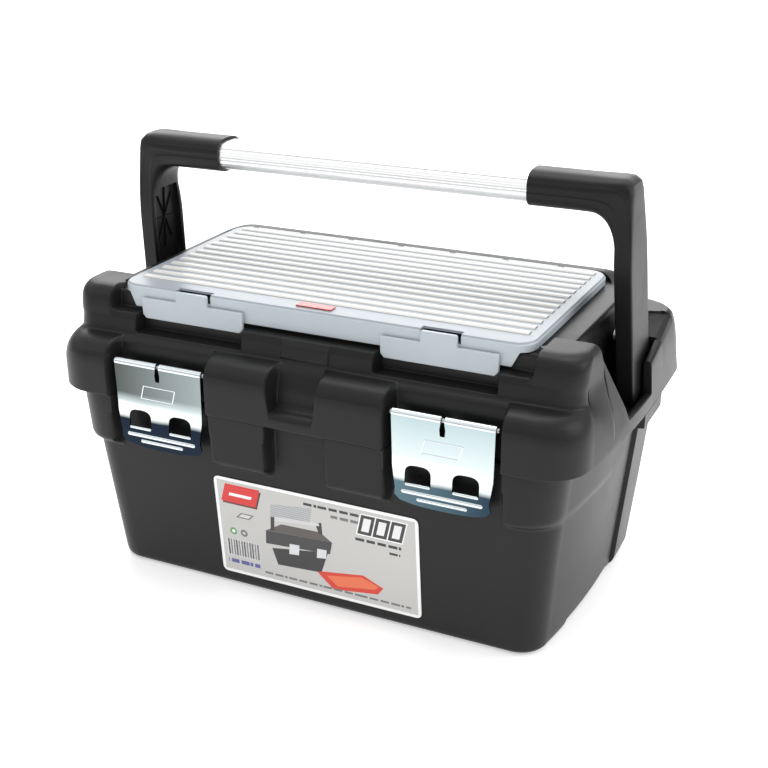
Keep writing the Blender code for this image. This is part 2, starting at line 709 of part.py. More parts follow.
# ---------------------------------------------------------------- handle
def tube_outline(grow=0.0):
    """Section of the handle tube in Y and Z: flat top, full front and back."""
    half_y, half_z = TUBE_DEEP / 2 + grow, TUBE_TALL / 2 + grow
    points = []
    for i in range(20):
        a = 2 * pi * i / 20
        y = TUBE_Y + half_y * np.sign(cos(a)) * abs(cos(a)) ** 0.7
        z = TUBE_Z + half_z * np.sign(sin(a)) * abs(sin(a)) ** 0.7
        points.append((y, z))
    return points


def arm_centre(z):
    return TUBE_Y + (TUBE_Z - z) * ARM_LEAN


def arm_half(z):
    grip = TUBE_DEEP / 2 + SLEEVE_GROW
    return grip + (ARM_HALF - grip) * ease(TUBE_Z - z, 5, 60)


def arm_outer(z):
    return ARM_OUT_TOP + (TUBE_Z + TUBE_TALL / 2 + SLEEVE_GROW - z) * ARM_SPLAY


def make_arm(name, side, finish):
    """One arm, its elbow and the sleeve that takes the tube."""
    top = TUBE_Z + TUBE_TALL / 2 + SLEEVE_GROW
    under = TUBE_Z - TUBE_TALL / 2 - SLEEVE_GROW
    inner = [(arm_outer(z) - ARM_THICK, z) for z in (ARM_FOOT, 200, 230, 262)]
    bend_x, bend_z, bend = arm_outer(280) - ARM_THICK, under - 28, 28.0
    curve = [(bend_x - 20 + 20 * cos(a), bend_z + bend * sin(a))
             for a in np.linspace(0, pi / 2, 5)]
    outer = [(arm_outer(z), z) for z in (top - 8, 262, 230, 200, ARM_FOOT)]
    outline = inner + curve + [(bend_x - 40, under), (bend_x - 40, top),
                               (ARM_OUT_TOP - 7, top), (ARM_OUT_TOP - 2, top - 3)] + outer
    count = len(outline)
    points = []
    for sign in (-1, 1):
        for px, pz in outline:
            lift = 7.0 if sign > 0 and pz < ARM_FOOT + 1 else 0.0
            points.append((side * px, arm_centre(pz) + sign * arm_half(pz), pz + lift))
    faces = [tuple(range(count)), tuple(range(2 * count - 1, count - 1, -1))]
    faces += [(i, (i + 1) % count, count + (i + 1) % count, count + i) for i in range(count)]
    arm = solid(name, points, faces, finish)
    low, high = sorted((side * SLEEVE_END, side * (bend_x - 30)))
    keep = prism("keep", tube_outline(SLEEVE_GROW), low, high, "x")
    cut(arm, box("trim", (min(side * (bend_x - 60), side * (bend_x - 32)), -60, 250),
                 (max(side * (bend_x - 60), side * (bend_x - 32)), 60, 400)))
    join(arm, keep)
    low, high = sorted((side * (SLEEVE_END - 5), side * (TUBE_HALF + GAP)))
    cut(arm, prism("socket", tube_outline(GAP), low, high, "x"))
    low, high = sorted((side * 180, side * (arm_outer(HANDLE_PIVOT_Z) - 4)))
    cut(arm, rod("bore", arm_centre(HANDLE_PIVOT_Z), HANDLE_PIVOT_Z, HANDLE_PIN_RADIUS + GAP,
                 low, high))
    hang(arm, "handle_pivot", arm_centre(HANDLE_PIVOT_Z), HANDLE_PIVOT_Z)
    return arm


# ---------------------------------------------------------------- tray
def make_tray(finish):
    rim, draft = TRAY_RIM, TRAY_RIM + TRAY_DRAFT
    rings = [plain_ring(TRAY_HALF, TRAY_FRONT, TRAY_REAR, 14, TRAY_TOP, TRAY_TOP),
             plain_ring(TRAY_HALF - rim, TRAY_FRONT + rim, TRAY_REAR - rim, 12, TRAY_TOP - 1.5,
                        TRAY_TOP - 1.5),
             plain_ring(TRAY_HALF - draft, TRAY_FRONT + draft, TRAY_REAR - draft, 9, TRAY_FLOOR,
                        TRAY_FLOOR)]
    tray = ring_shell("tool_tray", rings, TRAY_WALL, finish)
    middle = (TRAY_FRONT + TRAY_REAR) / 2
    wall_end = TRAY_HALF - draft - 0.5
    foot = TRAY_FLOOR + TRAY_WALL / 2
    outline = [(-wall_end, foot), (wall_end, foot), (wall_end, TRAY_TOP - 8),
               (TRAY_GRIP_HALF + 20, TRAY_TOP - 8), (TRAY_GRIP_HALF, TRAY_GRIP_TOP),
               (-TRAY_GRIP_HALF, TRAY_GRIP_TOP), (-TRAY_GRIP_HALF - 20, TRAY_TOP - 8),
               (-wall_end, TRAY_TOP - 8)]
    wall = prism("wall", outline, middle - 1.5, middle + 1.5, "y")
    cut(wall, box("hand_hole", (-TRAY_HAND_HALF, middle - 5, TRAY_GRIP_TOP - 26),
                  (TRAY_HAND_HALF, middle + 5, TRAY_GRIP_TOP - 7)))
    join(tray, wall)
    for x in (-TRAY_RIB_X, TRAY_RIB_X):
        join(tray, box("rib", (x - 1, TRAY_FRONT + draft + 0.5, foot),
                       (x + 1, middle, TRAY_TOP - 12)))
    return tray


def make_label(finish):
    """A thin sheet that follows the slope of the front wall."""
    def wall_y(z):
        if z > 60:
            return FRONT + 20 - (z - 60) / 51.5 * 4
        return FRONT + 20 + (60 - z) / 52 * 4
    out = GAP + LABEL_THICK
    outline = [(wall_y(z) - out, z) for z in (LABEL_LOW, 60, LABEL_HIGH)]
    outline += [(wall_y(z) - GAP, z) for z in (LABEL_HIGH, 60, LABEL_LOW)]
    return prism("front_label", outline, LABEL_LEFT, LABEL_RIGHT, "x", finish)


def make_dividers(finish):
    foot, top = WELL_FLOOR + GAP, FRAME_TOP - 1
    half, front, rear = WELL_HALF - 2.8, WELL_FRONT + 2.8, WELL_REAR - 2.8
    middle = (front + rear) / 2
    box("divider_long", (-half, middle - DIVIDER / 2, foot), (half, middle + DIVIDER / 2, top),
        finish)
    for i, x in enumerate((-0.6, -0.2, 0.2, 0.6)):
        box(f"divider_front_{i + 1}", (x * half - DIVIDER / 2, front, foot),
            (x * half + DIVIDER / 2, middle - DIVIDER / 2 - GAP, top), finish)
    for i, x in enumerate((-0.5, 0.0, 0.5)):
        box(f"divider_rear_{i + 1}", (x * half - DIVIDER / 2, middle + DIVIDER / 2 + GAP, foot),
            (x * half + DIVIDER / 2, rear, top), finish)


def main():
    clear_scene()
    black = material("black_plastic", (0.035, 0.036, 0.038), 0.45)
    grip = material("grip_plastic", (0.025, 0.025, 0.027), 0.5)
    clear = material("milky_plastic", (0.75, 0.8, 0.83), 0.3, alpha=0.6)
    orange = material("tray_orange", (0.8, 0.12, 0.03), 0.4)
    zinc = material("zinc_plate", (0.75, 0.78, 0.8), 0.25, 1.0)
    steel = material("steel_pin", (0.6, 0.6, 0.6), 0.3, 1.0)
    alloy = material("satin_aluminium", (0.8, 0.8, 0.8), 0.3, 1.0)
    paper = material("label_paper", (0.85, 0.85, 0.86), 0.35)
    red = material("badge_red", (0.7, 0.03, 0.03), 0.35)

    make_tub(black)
    make_lid(black)
    make_cover(clear)
    make_label(paper)
    make_tray(orange)
    make_dividers(clear)
    box("cover_badge", (BADGE_LEFT, COVER_FRONT + 6, COVER_TOP + GAP),
        (BADGE_RIGHT, COVER_FRONT + 6 + BADGE_DEPTH, COVER_TOP + GAP + BADGE_THICK), red)
    rod("cover_hinge_rod", COVER_AXIS_Y, COVER_AXIS_Z, COVER_ROD_RADIUS, -COVER_ROD_HALF,
        COVER_ROD_HALF, steel, 8)
    for side, word in ((-1, "left"), (1, "right")):
        make_latch("latch_" + word, side, zinc)
        pin = LATCH_WIDTH / 2 + 1.8
        rod("latch_pin_" + word, LATCH_Y, LATCH_TOP, LATCH_PIN_RADIUS, side * LATCH_X - pin,
            side * LATCH_X + pin, steel, 12)
        make_clip("cover_clip_" + word, side, clear)
        make_arm("handle_arm_" + word, side, grip)
        span = LID_EYE / 2 + EYE_GAP + TUB_EYE
        rod("lid_hinge_pin_" + word, HINGE_Y, PART_LINE, HINGE_PIN_RADIUS,
            side * HINGE_X - span, side * HINGE_X + span, steel, 12)
        outer = arm_outer(HANDLE_PIVOT_Z) - 4.5
        low, high = sorted((side * (outer - 15.5), side * outer))
        rod("handle_pin_" + word, arm_centre(HANDLE_PIVOT_Z), HANDLE_PIVOT_Z,
            HANDLE_PIN_RADIUS, low, high, steel, 16)
    tube = prism("handle_tube", tube_outline(), -TUBE_HALF, TUBE_HALF, "x", alloy)
    hang(tube, "handle_pivot", arm_centre(HANDLE_PIVOT_Z), HANDLE_PIVOT_Z)


main()
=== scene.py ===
import math
import bmesh
import bpy
import numpy as np
from mathutils import Matrix, Vector


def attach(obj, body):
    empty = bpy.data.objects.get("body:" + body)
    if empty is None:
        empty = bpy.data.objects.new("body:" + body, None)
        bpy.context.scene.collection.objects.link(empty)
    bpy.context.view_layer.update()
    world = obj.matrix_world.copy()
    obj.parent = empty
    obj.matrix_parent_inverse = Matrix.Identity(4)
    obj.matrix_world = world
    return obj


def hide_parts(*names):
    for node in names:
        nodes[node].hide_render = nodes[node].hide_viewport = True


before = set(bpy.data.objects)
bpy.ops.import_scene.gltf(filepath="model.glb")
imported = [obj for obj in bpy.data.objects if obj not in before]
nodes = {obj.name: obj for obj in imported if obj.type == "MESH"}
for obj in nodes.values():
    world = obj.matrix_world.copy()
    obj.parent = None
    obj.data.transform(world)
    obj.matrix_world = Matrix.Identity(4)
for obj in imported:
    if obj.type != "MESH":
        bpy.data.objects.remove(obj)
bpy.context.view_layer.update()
mm = 0.001
print("frame loaded:", len(nodes), "nodes")

box = {"length": 450.0, "front": -142.5, "rear": 125.0, "bow": 9.0, "rearBow": 3.0,
       "bowSpan": 115.0, "middle": -8.0, "partLine": 158.0, "gap": 0.3}


# Numbers along an edge or a surface.
def smooth(value, low, high):  # eased step, 0 below low and 1 above high
    t = np.clip((np.asarray(value, float) - low) / (high - low), 0.0, 1.0)
    return t * t * (3 - 2 * t)


def between(value, low, high, run):  # 1 inside low..high, easing to 0 over run at both ends
    return smooth(value, low - run / 2, low + run / 2) * (1 - smooth(value, high - run / 2, high + run / 2))


def blend(a, b, weight):  # a where the weight is 0, b where it is 1, row by row
    weight = np.asarray(weight, float)
    weight = weight.reshape(weight.shape + (1,) * (3 - weight.ndim))
    return a + (b - a) * weight


def rowsOf(profile, count):
    return np.repeat(np.array(profile, float)[None], count, axis=0)


def places(low, high, spacing, breaks, run):  # even spacing, with extra places round each break
    extra = [np.linspace(b - run, b + run, 9) for b in breaks]
    found = np.unique(np.round(np.concatenate([np.arange(low, high, spacing), [high]] + extra), 3))
    return found[(found >= low) & (found <= high)]


# Each corner of a path becomes a quadratic curve that starts and ends `cut` away from it,
# and never past 0.48 of the side: (1-t)^2 a + 2t(1-t) corner + t^2 b.
def roundPath(path, cut, steps=4):
    path = np.asarray(path, float)
    cut = np.broadcast_to(np.asarray(cut, float), path.shape[:2])
    before, corner, after = path[:, :-2], path[:, 1:-1], path[:, 2:]
    back, ahead = before - corner, after - corner
    backLong = np.linalg.norm(back[..., :2], axis=-1) + 1e-9
    aheadLong = np.linalg.norm(ahead[..., :2], axis=-1) + 1e-9
    a = corner + back * np.minimum(cut[:, 1:-1] / backLong, 0.48)[..., None]
    b = corner + ahead * np.minimum(cut[:, 1:-1] / aheadLong, 0.48)[..., None]
    t = np.linspace(0, 1, steps)[None, None, :, None]
    curve = (1 - t) ** 2 * a[:, :, None] + 2 * t * (1 - t) * corner[:, :, None] + t ** 2 * b[:, :, None]
    curve = curve.reshape(path.shape[0], -1, path.shape[2])
    return np.concatenate([path[:, :1], curve, path[:, -1:]], axis=1)


# Every point of a profile moves one wall inwards, square to both of its sides.
def insetPath(path, wall, rising):
    side = np.diff(path[..., :2], axis=1)
    side /= np.linalg.norm(side, axis=-1, keepdims=True) + 1e-9
    normal = np.stack([side[..., 1], -side[..., 0]], axis=-1) * (1 if rising else -1)
    first = np.concatenate([normal[:, :1], normal], axis=1)
    second = np.concatenate([normal, normal[:, -1:]], axis=1)
    total = first + second
    scale = np.minimum(1 / (1 + (first * second).sum(-1)).clip(0.25), 1.6)
    moved = path.copy()
    moved[..., :2] += total * scale[..., None] * wall
    return moved


# Meshes.
def placed(name, data):  # a new object with this data, in the scene
    made = bpy.data.objects.new(name, data)
    bpy.context.scene.collection.objects.link(made)
    return made


closest = 2e-6  # points nearer than this, in metres, become one


def tidyMesh(mesh):
    work = bmesh.new()
    work.from_mesh(mesh)
    bmesh.ops.remove_doubles(work, verts=work.verts, dist=closest)
    bmesh.ops.dissolve_degenerate(work, edges=work.edges, dist=closest)
    bmesh.ops.recalc_face_normals(work, faces=work.faces)
    work.to_mesh(mesh)
    work.free()


def bevelEdges(piece, width, segments, angle):  # the width is in mm
    edges = piece.modifiers.new("edges", "BEVEL")
    edges.width, edges.segments, edges.limit_method = width * mm, segments, "ANGLE"
    edges.angle_limit = angle


def repaint(mesh, paint):
    mesh.materials.clear()
    mesh.materials.append(paint)


def finishPiece(piece, body, paint, stands=(), sharp=40):
    mesh = piece.data
    repaint(mesh, paint)
    mesh.shade_smooth()
    mesh.set_sharp_from_angle(angle=math.radians(sharp))
    even = piece.modifiers.new("even shading", "WEIGHTED_NORMAL")
    even.keep_sharp = True
    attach(piece, body)
    if stands:
        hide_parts(*stands)
    return piece


def addPiece(name, points, faces):
    mesh = bpy.data.meshes.new(name)
    mesh.from_pydata((np.asarray(points, float) * mm).tolist(), [], [list(map(int, f)) for f in faces])
    tidyMesh(mesh)
    return placed(name, mesh)


# Four-sided faces of a grid of points that closes on itself along its columns.
def gridQuads(rows, columns, start=0, wrapRows=False):
    i = np.arange(rows if wrapRows else rows - 1)
    j = np.arange(columns)
    a, b = np.meshgrid(i, j, indexing="ij")
    across, up = (b + 1) % columns, (a + 1) % rows
    quads = np.stack([a * columns + b, a * columns + across, up * columns + across, up * columns + b], -1)
    return (quads + start).reshape(-1, 4)


def edged(rings, rise):  # an extra first ring, 1 mm further in, takes the sharpness off the rim
    centre = np.array([0.0, box["middle"], 0.0])
    flat = (rings[0] - centre) * (1, 1, 0)
    first = rings[0] - flat / np.linalg.norm(flat, axis=1, keepdims=True)
    second = rings[0] + (0, 0, rise)
    return np.concatenate([[first, second], rings[1:]])


# Levels of closed rings, outer and inner, joined at the first level and capped at the last.
def shellPiece(name, outer, inner):
    count = outer.shape[1]
    outerFaces = gridQuads(len(outer), count)
    begin = len(outer) * count
    innerFaces = gridQuads(len(inner), count, start=begin)[:, ::-1]
    j = np.arange(count)
    rim = np.stack([j, (j + 1) % count, begin + (j + 1) % count, begin + j], -1)[:, ::-1]
    points = np.concatenate([outer.reshape(-1, 3), inner.reshape(-1, 3),
                             [outer[-1].mean(0)], [inner[-1].mean(0)]])
    last, lastIn = (len(outer) - 1) * count, begin + (len(inner) - 1) * count
    capOut = np.stack([last + j, last + (j + 1) % count, np.full(count, len(points) - 2)], -1)
    capIn = np.stack([lastIn + (j + 1) % count, lastIn + j, np.full(count, len(points) - 1)], -1)
    faces = outerFaces.tolist() + innerFaces.tolist() + rim.tolist() + capOut.tolist() + capIn.tolist()
    return addPiece(name, points, faces)


def endX(y, inset, bow):  # the end wall bows: half length minus bow times (y / span) squared
    here = np.where(np.asarray(y) > 0, bow * box["rearBow"] / box["bow"], bow)
    return box["length"] / 2 - here * (y / box["bowSpan"]) ** 2 - inset


# One closed ring per level. Columns of the profiles: inset, height. Corner columns: front and
# rear radius and bow. Corners are arcs between the end's inset and the side's.
def boxRings(front, end, rear, frontX, endY, rearX, corner):
    radius1, radius2, bow = corner[:, 0], corner[:, 1], corner[:, 2]
    turn = np.linspace(0, math.pi / 2, 11)[:, None]
    frontIn, frontUp = front[-1].T
    endIn, endUp = end[0].T
    centreY = box["front"] + frontIn + radius1
    centreX = endX(centreY, endIn, bow) - radius1
    parts = [np.stack([np.minimum(frontX[:, None], centreX), box["front"] + front[..., 0],
                       front[..., 1]], -1)]
    share = smooth(turn / (math.pi / 2), 0, 1)
    parts.append(np.stack([centreX + radius1 * np.sin(turn), centreY - radius1 * np.cos(turn),
                           frontUp + (endUp - frontUp) * share], -1))
    rearIn, rearUp = rear[0].T
    endIn, endUp = end[-1].T
    backY = box["rear"] - rearIn - radius2
    backX = endX(backY, endIn, bow) - radius2
    y = np.clip(endY[:, None], centreY, backY)
    parts.append(np.stack([endX(y, end[..., 0], bow), y, end[..., 1]], -1))
    parts.append(np.stack([backX + radius2 * np.cos(turn), backY + radius2 * np.sin(turn),
                           endUp + (rearUp - endUp) * share], -1))
    parts.append(np.stack([np.minimum(rearX[:, None], backX),
                           np.broadcast_to(box["rear"] - rear[..., 0], rear.shape[:2]),
                           rear[..., 1]], -1))
    half = np.concatenate(parts)
    other = half[::-1] * (-1, 1, 1)
    return np.concatenate([half, other]).transpose(1, 0, 2)


# Paint.
class Wire:  # an output of a shader node, on which arithmetic adds Math nodes
    def __init__(self, paint, socket):
        self.paint = paint
        self.socket = socket

    def math(self, operation, other=0.0, swapped=False):
        pair = (other, self) if swapped else (self, other)
        return self.paint.node("ShaderNodeMath", {"operation": operation}, {0: pair[0], 1: pair[1]})

    def __add__(self, other):
        return self.math("ADD", other)

    def __sub__(self, other):
        return self.math("SUBTRACT", other)

    def __rsub__(self, other):
        return self.math("SUBTRACT", other, True)

    def __mul__(self, other):
        return self.math("MULTIPLY", other)

    def __truediv__(self, other):
        return self.math("DIVIDE", other)

    def __rtruediv__(self, other):
        return self.math("DIVIDE", other, True)

    def over(self, limit):
        return self.math("GREATER_THAN", limit)

    def under(self, limit):
        return self.math("LESS_THAN", limit)

    def clip(self):
        return self.paint.node("ShaderNodeClamp", None, {0: self})

    __radd__ = __add__
    __rmul__ = __mul__


class Paint:
    def __init__(self, name, **values):
        self.material = bpy.data.materials.new(name)
        self.material.use_nodes = True
        self.tree = self.material.node_tree
        self.shader = self.tree.nodes["Principled BSDF"]
        self.set(**values)

    def feed(self, socket, value):
        if isinstance(value, Wire):
            self.tree.links.new(value.socket, socket)
        elif isinstance(value, tuple) and socket.type == "RGBA":
            socket.default_value = (*value, 1.0)[:4]
        else:
            socket.default_value = value

    def set(self, **values):  # names of the shader's sockets, with _ for a space
        for key, value in values.items():
            self.feed(self.shader.inputs[key.replace("_", " ")], value)

    def node(self, kind, settings=None, values=None, output=0):
        made = self.tree.nodes.new(kind)
        for key, value in (settings or {}).items():
            setattr(made, key, value)
        for key, value in (values or {}).items():
            self.feed(made.inputs[key], value)
        return Wire(self, made.outputs[output])

    def place(self, stretch):
        where = self.node("ShaderNodeTexCoord", output=3)
        return self.node("ShaderNodeMapping", None, {0: where, 3: stretch})

    def axes(self):
        where = self.node("ShaderNodeTexCoord", output=3)
        split = self.node("ShaderNodeSeparateXYZ", None, {0: where})
        outs = split.socket.node.outputs
        return Wire(self, outs[0]), Wire(self, outs[1]), Wire(self, outs[2])

    def noise(self, scale, detail, stretch=(1, 1, 1)):
        return self.node("ShaderNodeTexNoise", None,
                         {"Vector": self.place(stretch), "Scale": scale, "Detail": detail})

    def mix(self, weight, a, b):
        return self.node("ShaderNodeMix", {"data_type": "RGBA"}, {0: weight, 6: a, 7: b}, 2)

    def bump(self, height, distance, strength):
        return self.node("ShaderNodeBump", None, {"Height": height, "Distance": distance,
                                                  "Strength": strength})


def mouldedPlastic(name, base, rough, grain=0.5):  # fine grain, faint clouding and a few dull patches
    paint = Paint(name)
    cloud = paint.noise(9, 4)
    fine = paint.noise(1500, 3)
    dull = ((paint.noise(28, 5) - 0.52) * 3).clip()
    light = tuple(c * 1.22 for c in base)
    dark = tuple(c * 0.86 for c in base)
    paint.set(Base_Color=paint.mix(cloud, dark, light), Roughness=cloud * 0.10 + dull * 0.07 + (rough - 0.06),
              Normal=paint.bump(fine, 0.00012, grain), Specular_IOR_Level=0.24)
    return paint.material


# Bright plating. With paintedReflections the colour is painted reflection in zones: above the upper bend a
# cold grey painted reflection, between the bends a pale painted reflection, and below the windows a painted
# dark reflection that darkens to blue; the left sheet is painted darker than the right one, as painted shade.
def zincSheet(name, paintedReflections):
    paint = Paint(name, Metallic=1.0)
    streak = paint.noise(60, 3, (1, 1, 9))
    cloud = paint.noise(20, 3)
    colour = paint.mix(streak, (0.66, 0.74, 0.79), (0.84, 0.88, 0.88))
    if paintedReflections:
        x, _, z = paint.axes()
        z = z + (cloud - 0.5) * 0.004
        left = x.under(0.0)
        side = (x.math("ABSOLUTE") / mm - 79) / 78
        side = paint.node("ShaderNodeMix", {"data_type": "FLOAT"}, {0: left, 2: side, 3: 1 - side})
        side = side.clip()

        def climb(start, run):  # 0 below start, 1 above start + run, in mm of height
            return ((z / mm - start) / run).clip()

        # painted reflection above the upper bend, cold grey darkening upwards; higher up on the left sheet a
        # darker painted shade
        upper = paint.mix(climb(150, 34), (0.62, 0.68, 0.68), (0.40, 0.50, 0.52))
        dim = paint.mix(side, (0.075, 0.085, 0.08), (0.26, 0.30, 0.31))
        upper = paint.mix(left * climb(153, 10), upper, dim)
        # painted pale reflection between the bends, painted dark blue reflection below the windows, darkest
        # on the left sheet as painted shade
        pale = paint.mix(side, (0.86, 0.88, 0.86), (0.62, 0.70, 0.68))
        lower = paint.mix(side, (0.10, 0.16, 0.19), (0.022, 0.042, 0.065))
        lower = paint.mix(left, lower, (0.012, 0.020, 0.034))
        colour = paint.mix(climb(151, 5), pale, upper)
        colour = paint.mix(climb(left * 5 + 136, 4), lower, colour)
    paint.set(Base_Color=colour, Roughness=streak * 0.08 + cloud * 0.06 + 0.13,
              Normal=paint.bump(paint.noise(700, 2, (1, 1, 12)), 0.00002, 0.35))
    return paint.material


def satinAluminium(name):  # drawn along X, so the scratches run that way
    paint = Paint(name, Metallic=1.0)
    lines = paint.noise(40, 3, (1, 60, 60))
    paint.set(Base_Color=paint.mix(lines, (0.88, 0.89, 0.90), (0.97, 0.97, 0.97)),
              Roughness=lines * 0.12 + 0.24, Normal=paint.bump(lines, 0.00003, 0.5))
    return paint.material


def plainSteel(name):
    paint = Paint(name, Metallic=1.0)
    cloud = paint.noise(90, 3)
    paint.set(Base_Color=paint.mix(cloud, (0.42, 0.43, 0.44), (0.62, 0.62, 0.62)),
              Roughness=cloud * 0.15 + 0.25)
    return paint.material


milk = {"clear": (0.490, 0.545, 0.585), "thick": (0.440, 0.431, 0.414), "groove": (0.360, 0.396, 0.432),
        "alpha": 0.90}


def milkyPlastic(name, ribs=None, alpha=None):  # frosted; the ribs are thicker and so whiter, and each rib rises to a painted highlight towards its rear side
    paint = Paint(name, IOR=1.49)
    x, y, z = paint.axes()
    cloud = paint.noise(22, 3)
    colour = paint.mix(cloud, milk["clear"], tuple(c * 1.12 for c in milk["clear"]))
    cover = cloud * 0.02 + (alpha or milk["alpha"])
    if ribs:
        turn = ((y - ribs["first"] * mm) / (ribs["pitch"] * mm) + 0.5).math("FRACT") - 0.5
        onRib = ((0.5 * ribs["width"] / ribs["pitch"] + 0.03 - turn.math("ABSOLUTE")) * 16).clip()
        onRib = onRib * x.math("ABSOLUTE").under(ribs["half"] * mm)
        onRib = onRib * y.over((ribs["first"] - ribs["width"]) * mm)
        top = z.over((ribs["top"] - 1.2) * mm)
        # painted highlight: each rib runs from its thick tone at the front side to near white towards its
        # rear side
        ribToneAndHighlight = paint.mix(((turn + 0.5) * 1.5).clip(), milk["thick"], (0.80, 0.79, 0.77))
        face = paint.mix(onRib, milk["groove"], ribToneAndHighlight)
        teeth = y.over(69.5 * mm) * (x / 0.047 + 0.3).math("FRACT").under(0.11)
        face = paint.mix(teeth, face, (0.03, 0.03, 0.03))
        colour = paint.mix(top, colour, face)
        cover = cover + top * onRib * 0.10
    paint.set(Base_Color=colour, Roughness=paint.noise(45, 3) * 0.04 + 0.28, Alpha=cover,
              Normal=paint.bump(paint.noise(500, 2), 0.00005, 0.3))
    return paint.material


labelSize = {"left": -80.0, "right": 94.5, "low": 13.0, "high": 100.5, "corner": 5.0}


# The print is worked out from flat shapes in mm from the label's lower left corner: a rectangle is
# 1 where x and z both lie inside it, a disc where the squares of the distances add up to less than
# the radius squared, and a polygon where the point is to the left of all its sides.
def labelPrint(name):
    paint = Paint(name, Coat_Weight=0.25, Coat_Roughness=0.12)
    x, _, z = paint.axes()
    across = x / mm - labelSize["left"]
    up = z / mm - labelSize["low"]

    def patch(x0, z0, x1, z1, lean=0.0):
        shifted = across - up * lean if lean else across
        return shifted.over(x0) * shifted.under(x1) * up.over(z0) * up.under(z1)

    def disc(x0, z0, radius):
        return ((across - x0).math("POWER", 2.0) + (up - z0).math("POWER", 2.0)).under(radius ** 2)

    def polygon(corners):  # the corners go round against the clock
        inside = 1.0
        for (x0, z0), (x1, z1) in zip(corners, corners[1:] + corners[:1]):
            side = (up - z0) * (x1 - x0) - (across - x0) * (z1 - z0)
            inside = side.over(0.0) * inside
        return inside

    wide, tall = labelSize["right"] - labelSize["left"], labelSize["high"] - labelSize["low"]
    face = paint.mix(paint.noise(5, 2), (0.49, 0.485, 0.47), (0.58, 0.575, 0.56))
    colour = paint.mix(patch(2.6, 2.6, wide - 2.6, tall - 2.6), (0.90, 0.90, 0.90), face)
    specks = ((across * 0.62).math("SINE") + (across * 1.43).math("SINE")).over(-0.9)
    bars = ((across * 2.6).math("SINE") + (across * 6.1 + 1.0).math("SINE")).over(0.0)
    white, dark, grey = (0.92, 0.92, 0.92), (0.025, 0.025, 0.028), (0.16, 0.16, 0.17)
    fine = (up * 0.55).math("FRACT").under(0.3)
    layers = [(patch(-13.9, 64.4, 17.2, 80.6, 0.31), (0.10, 0.02, 0.02)),
              (patch(-15.6, 66, 15.4, 82.3, 0.31), (0.66, 0.015, 0.012)),
              (patch(-10, 72, 10, 74.6, 0.31), white),
              (patch(-36, 53, -24, 58, 1.0), grey), (patch(-34.5, 54, -25.5, 57, 1.0), (0.62, 0.62, 0.61)),
              (disc(13.4, 39.5, 3.2), (0.10, 0.32, 0.09)), (disc(13.4, 39.5, 1.5), white),
              (disc(23, 39.5, 3.2), grey), (disc(23, 39.5, 1.4), (0.5, 0.5, 0.49)),
              (patch(6, 16.5, 36, 32), (0.66, 0.66, 0.66)), (patch(6.5, 17, 35.5, 31.5) * bars, dark),
              (patch(6, 9.5, 35, 13) * specks, (0.09, 0.09, 0.30)),
              (polygon([(49.7, 72.3), (48.8, 60.3), (83.4, 61.6), (86.0, 76.8)]), (0.46, 0.47, 0.48)),
              (polygon([(49.7, 72.3), (48.8, 60.3), (83.4, 61.6), (86.0, 76.8)]) * fine, (0.27, 0.28, 0.29)),
              (polygon([(47.8, 32.1), (51.9, 17.6), (90.6, 20.1), (97.7, 40.1)]), (0.022, 0.022, 0.024)),
              (polygon([(43.5, 47.4), (42.5, 35.2), (99.4, 39.1), (101.8, 50.0)]), (0.035, 0.035, 0.038)),
              (polygon([(44.0, 47.5), (101.8, 50.0), (91.7, 57.0), (58.0, 56.1)]), (0.085, 0.075, 0.07)),
              (polygon([(48.9, 60.9), (47.9, 48.4), (51.1, 48.5), (52.4, 61.1)]), dark),
              (polygon([(88.0, 64.3), (90.7, 55.4), (93.9, 55.2), (93.6, 65.8)]), dark),
              (polygon([(52.5, 61.7), (52.0, 57.6), (91.5, 62.3), (91.3, 64.7)]), (0.62, 0.62, 0.62)),
              (polygon([(64.0, 39.8), (62.9, 30.3), (71.6, 31.1), (72.7, 40.3)]), (0.68, 0.70, 0.72)),
              (polygon([(88.4, 41.5), (87.4, 32.8), (95.6, 34.1), (96.5, 41.8)]), (0.68, 0.70, 0.72)),
              (polygon([(87.1, 19.6), (100.3, 7.1), (138.6, 12.6), (143.5, 19.3), (127.0, 26.9),
                        (91.3, 21.4)]), (0.66, 0.035, 0.012)),
              (polygon([(95.0, 18.6), (104.0, 10.7), (136.4, 16.3), (139.5, 19.8), (125.3, 24.6)]),
               (0.80, 0.16, 0.06)),
              (patch(79, 78.2, 126, 80.6) * specks, dark), (patch(102, 72, 127, 74.6) * specks, grey),
              (patch(122, 57.5, 160, 60) * specks, dark), (patch(150, 51.5, 159, 53.5) * specks, dark),
              (patch(38, 6.5, 166, 8.4) * specks, grey)]
    for mask, tone in layers:
        colour = paint.mix(mask, colour, tone)
    for step in range(3):
        x0 = 107 + 12.6 * step
        for spread, tone in ((0.0, white), (0.9, dark), (3.6, (0.80, 0.80, 0.80))):
            mask = patch(x0 + spread, 63 + spread, x0 + 13.4 - spread, 82 - spread, 0.25)
            colour = paint.mix(mask, colour, tone)
    paint.set(Base_Color=colour, Roughness=paint.noise(30, 3) * 0.1 + 0.26)
    return paint.material


def glossRed(name):
    paint = Paint(name, Coat_Weight=0.4)
    cloud = paint.noise(120, 2)
    paint.set(Base_Color=paint.mix(cloud, (0.55, 0.015, 0.02), (0.68, 0.03, 0.03)),
              Roughness=cloud * 0.1 + 0.28)
    return paint.material


# The lid.
lid = {"wall": 2.3, "latchX": 117.8, "latchHalf": 42.1, "clipX": 102.0, "clipHalf": 46.5,
       "slotFloor": 162.8, "slotFront": -43.0, "slope": 2.15, "lip": 171.0, "blockRear": -73.0,
       "rampLow": 195.0, "rampHigh": 214.0, "rampSlope": 0.27, "rampStart": 10.0, "stripRear": 39.0}
foot = box["partLine"] + box["gap"]
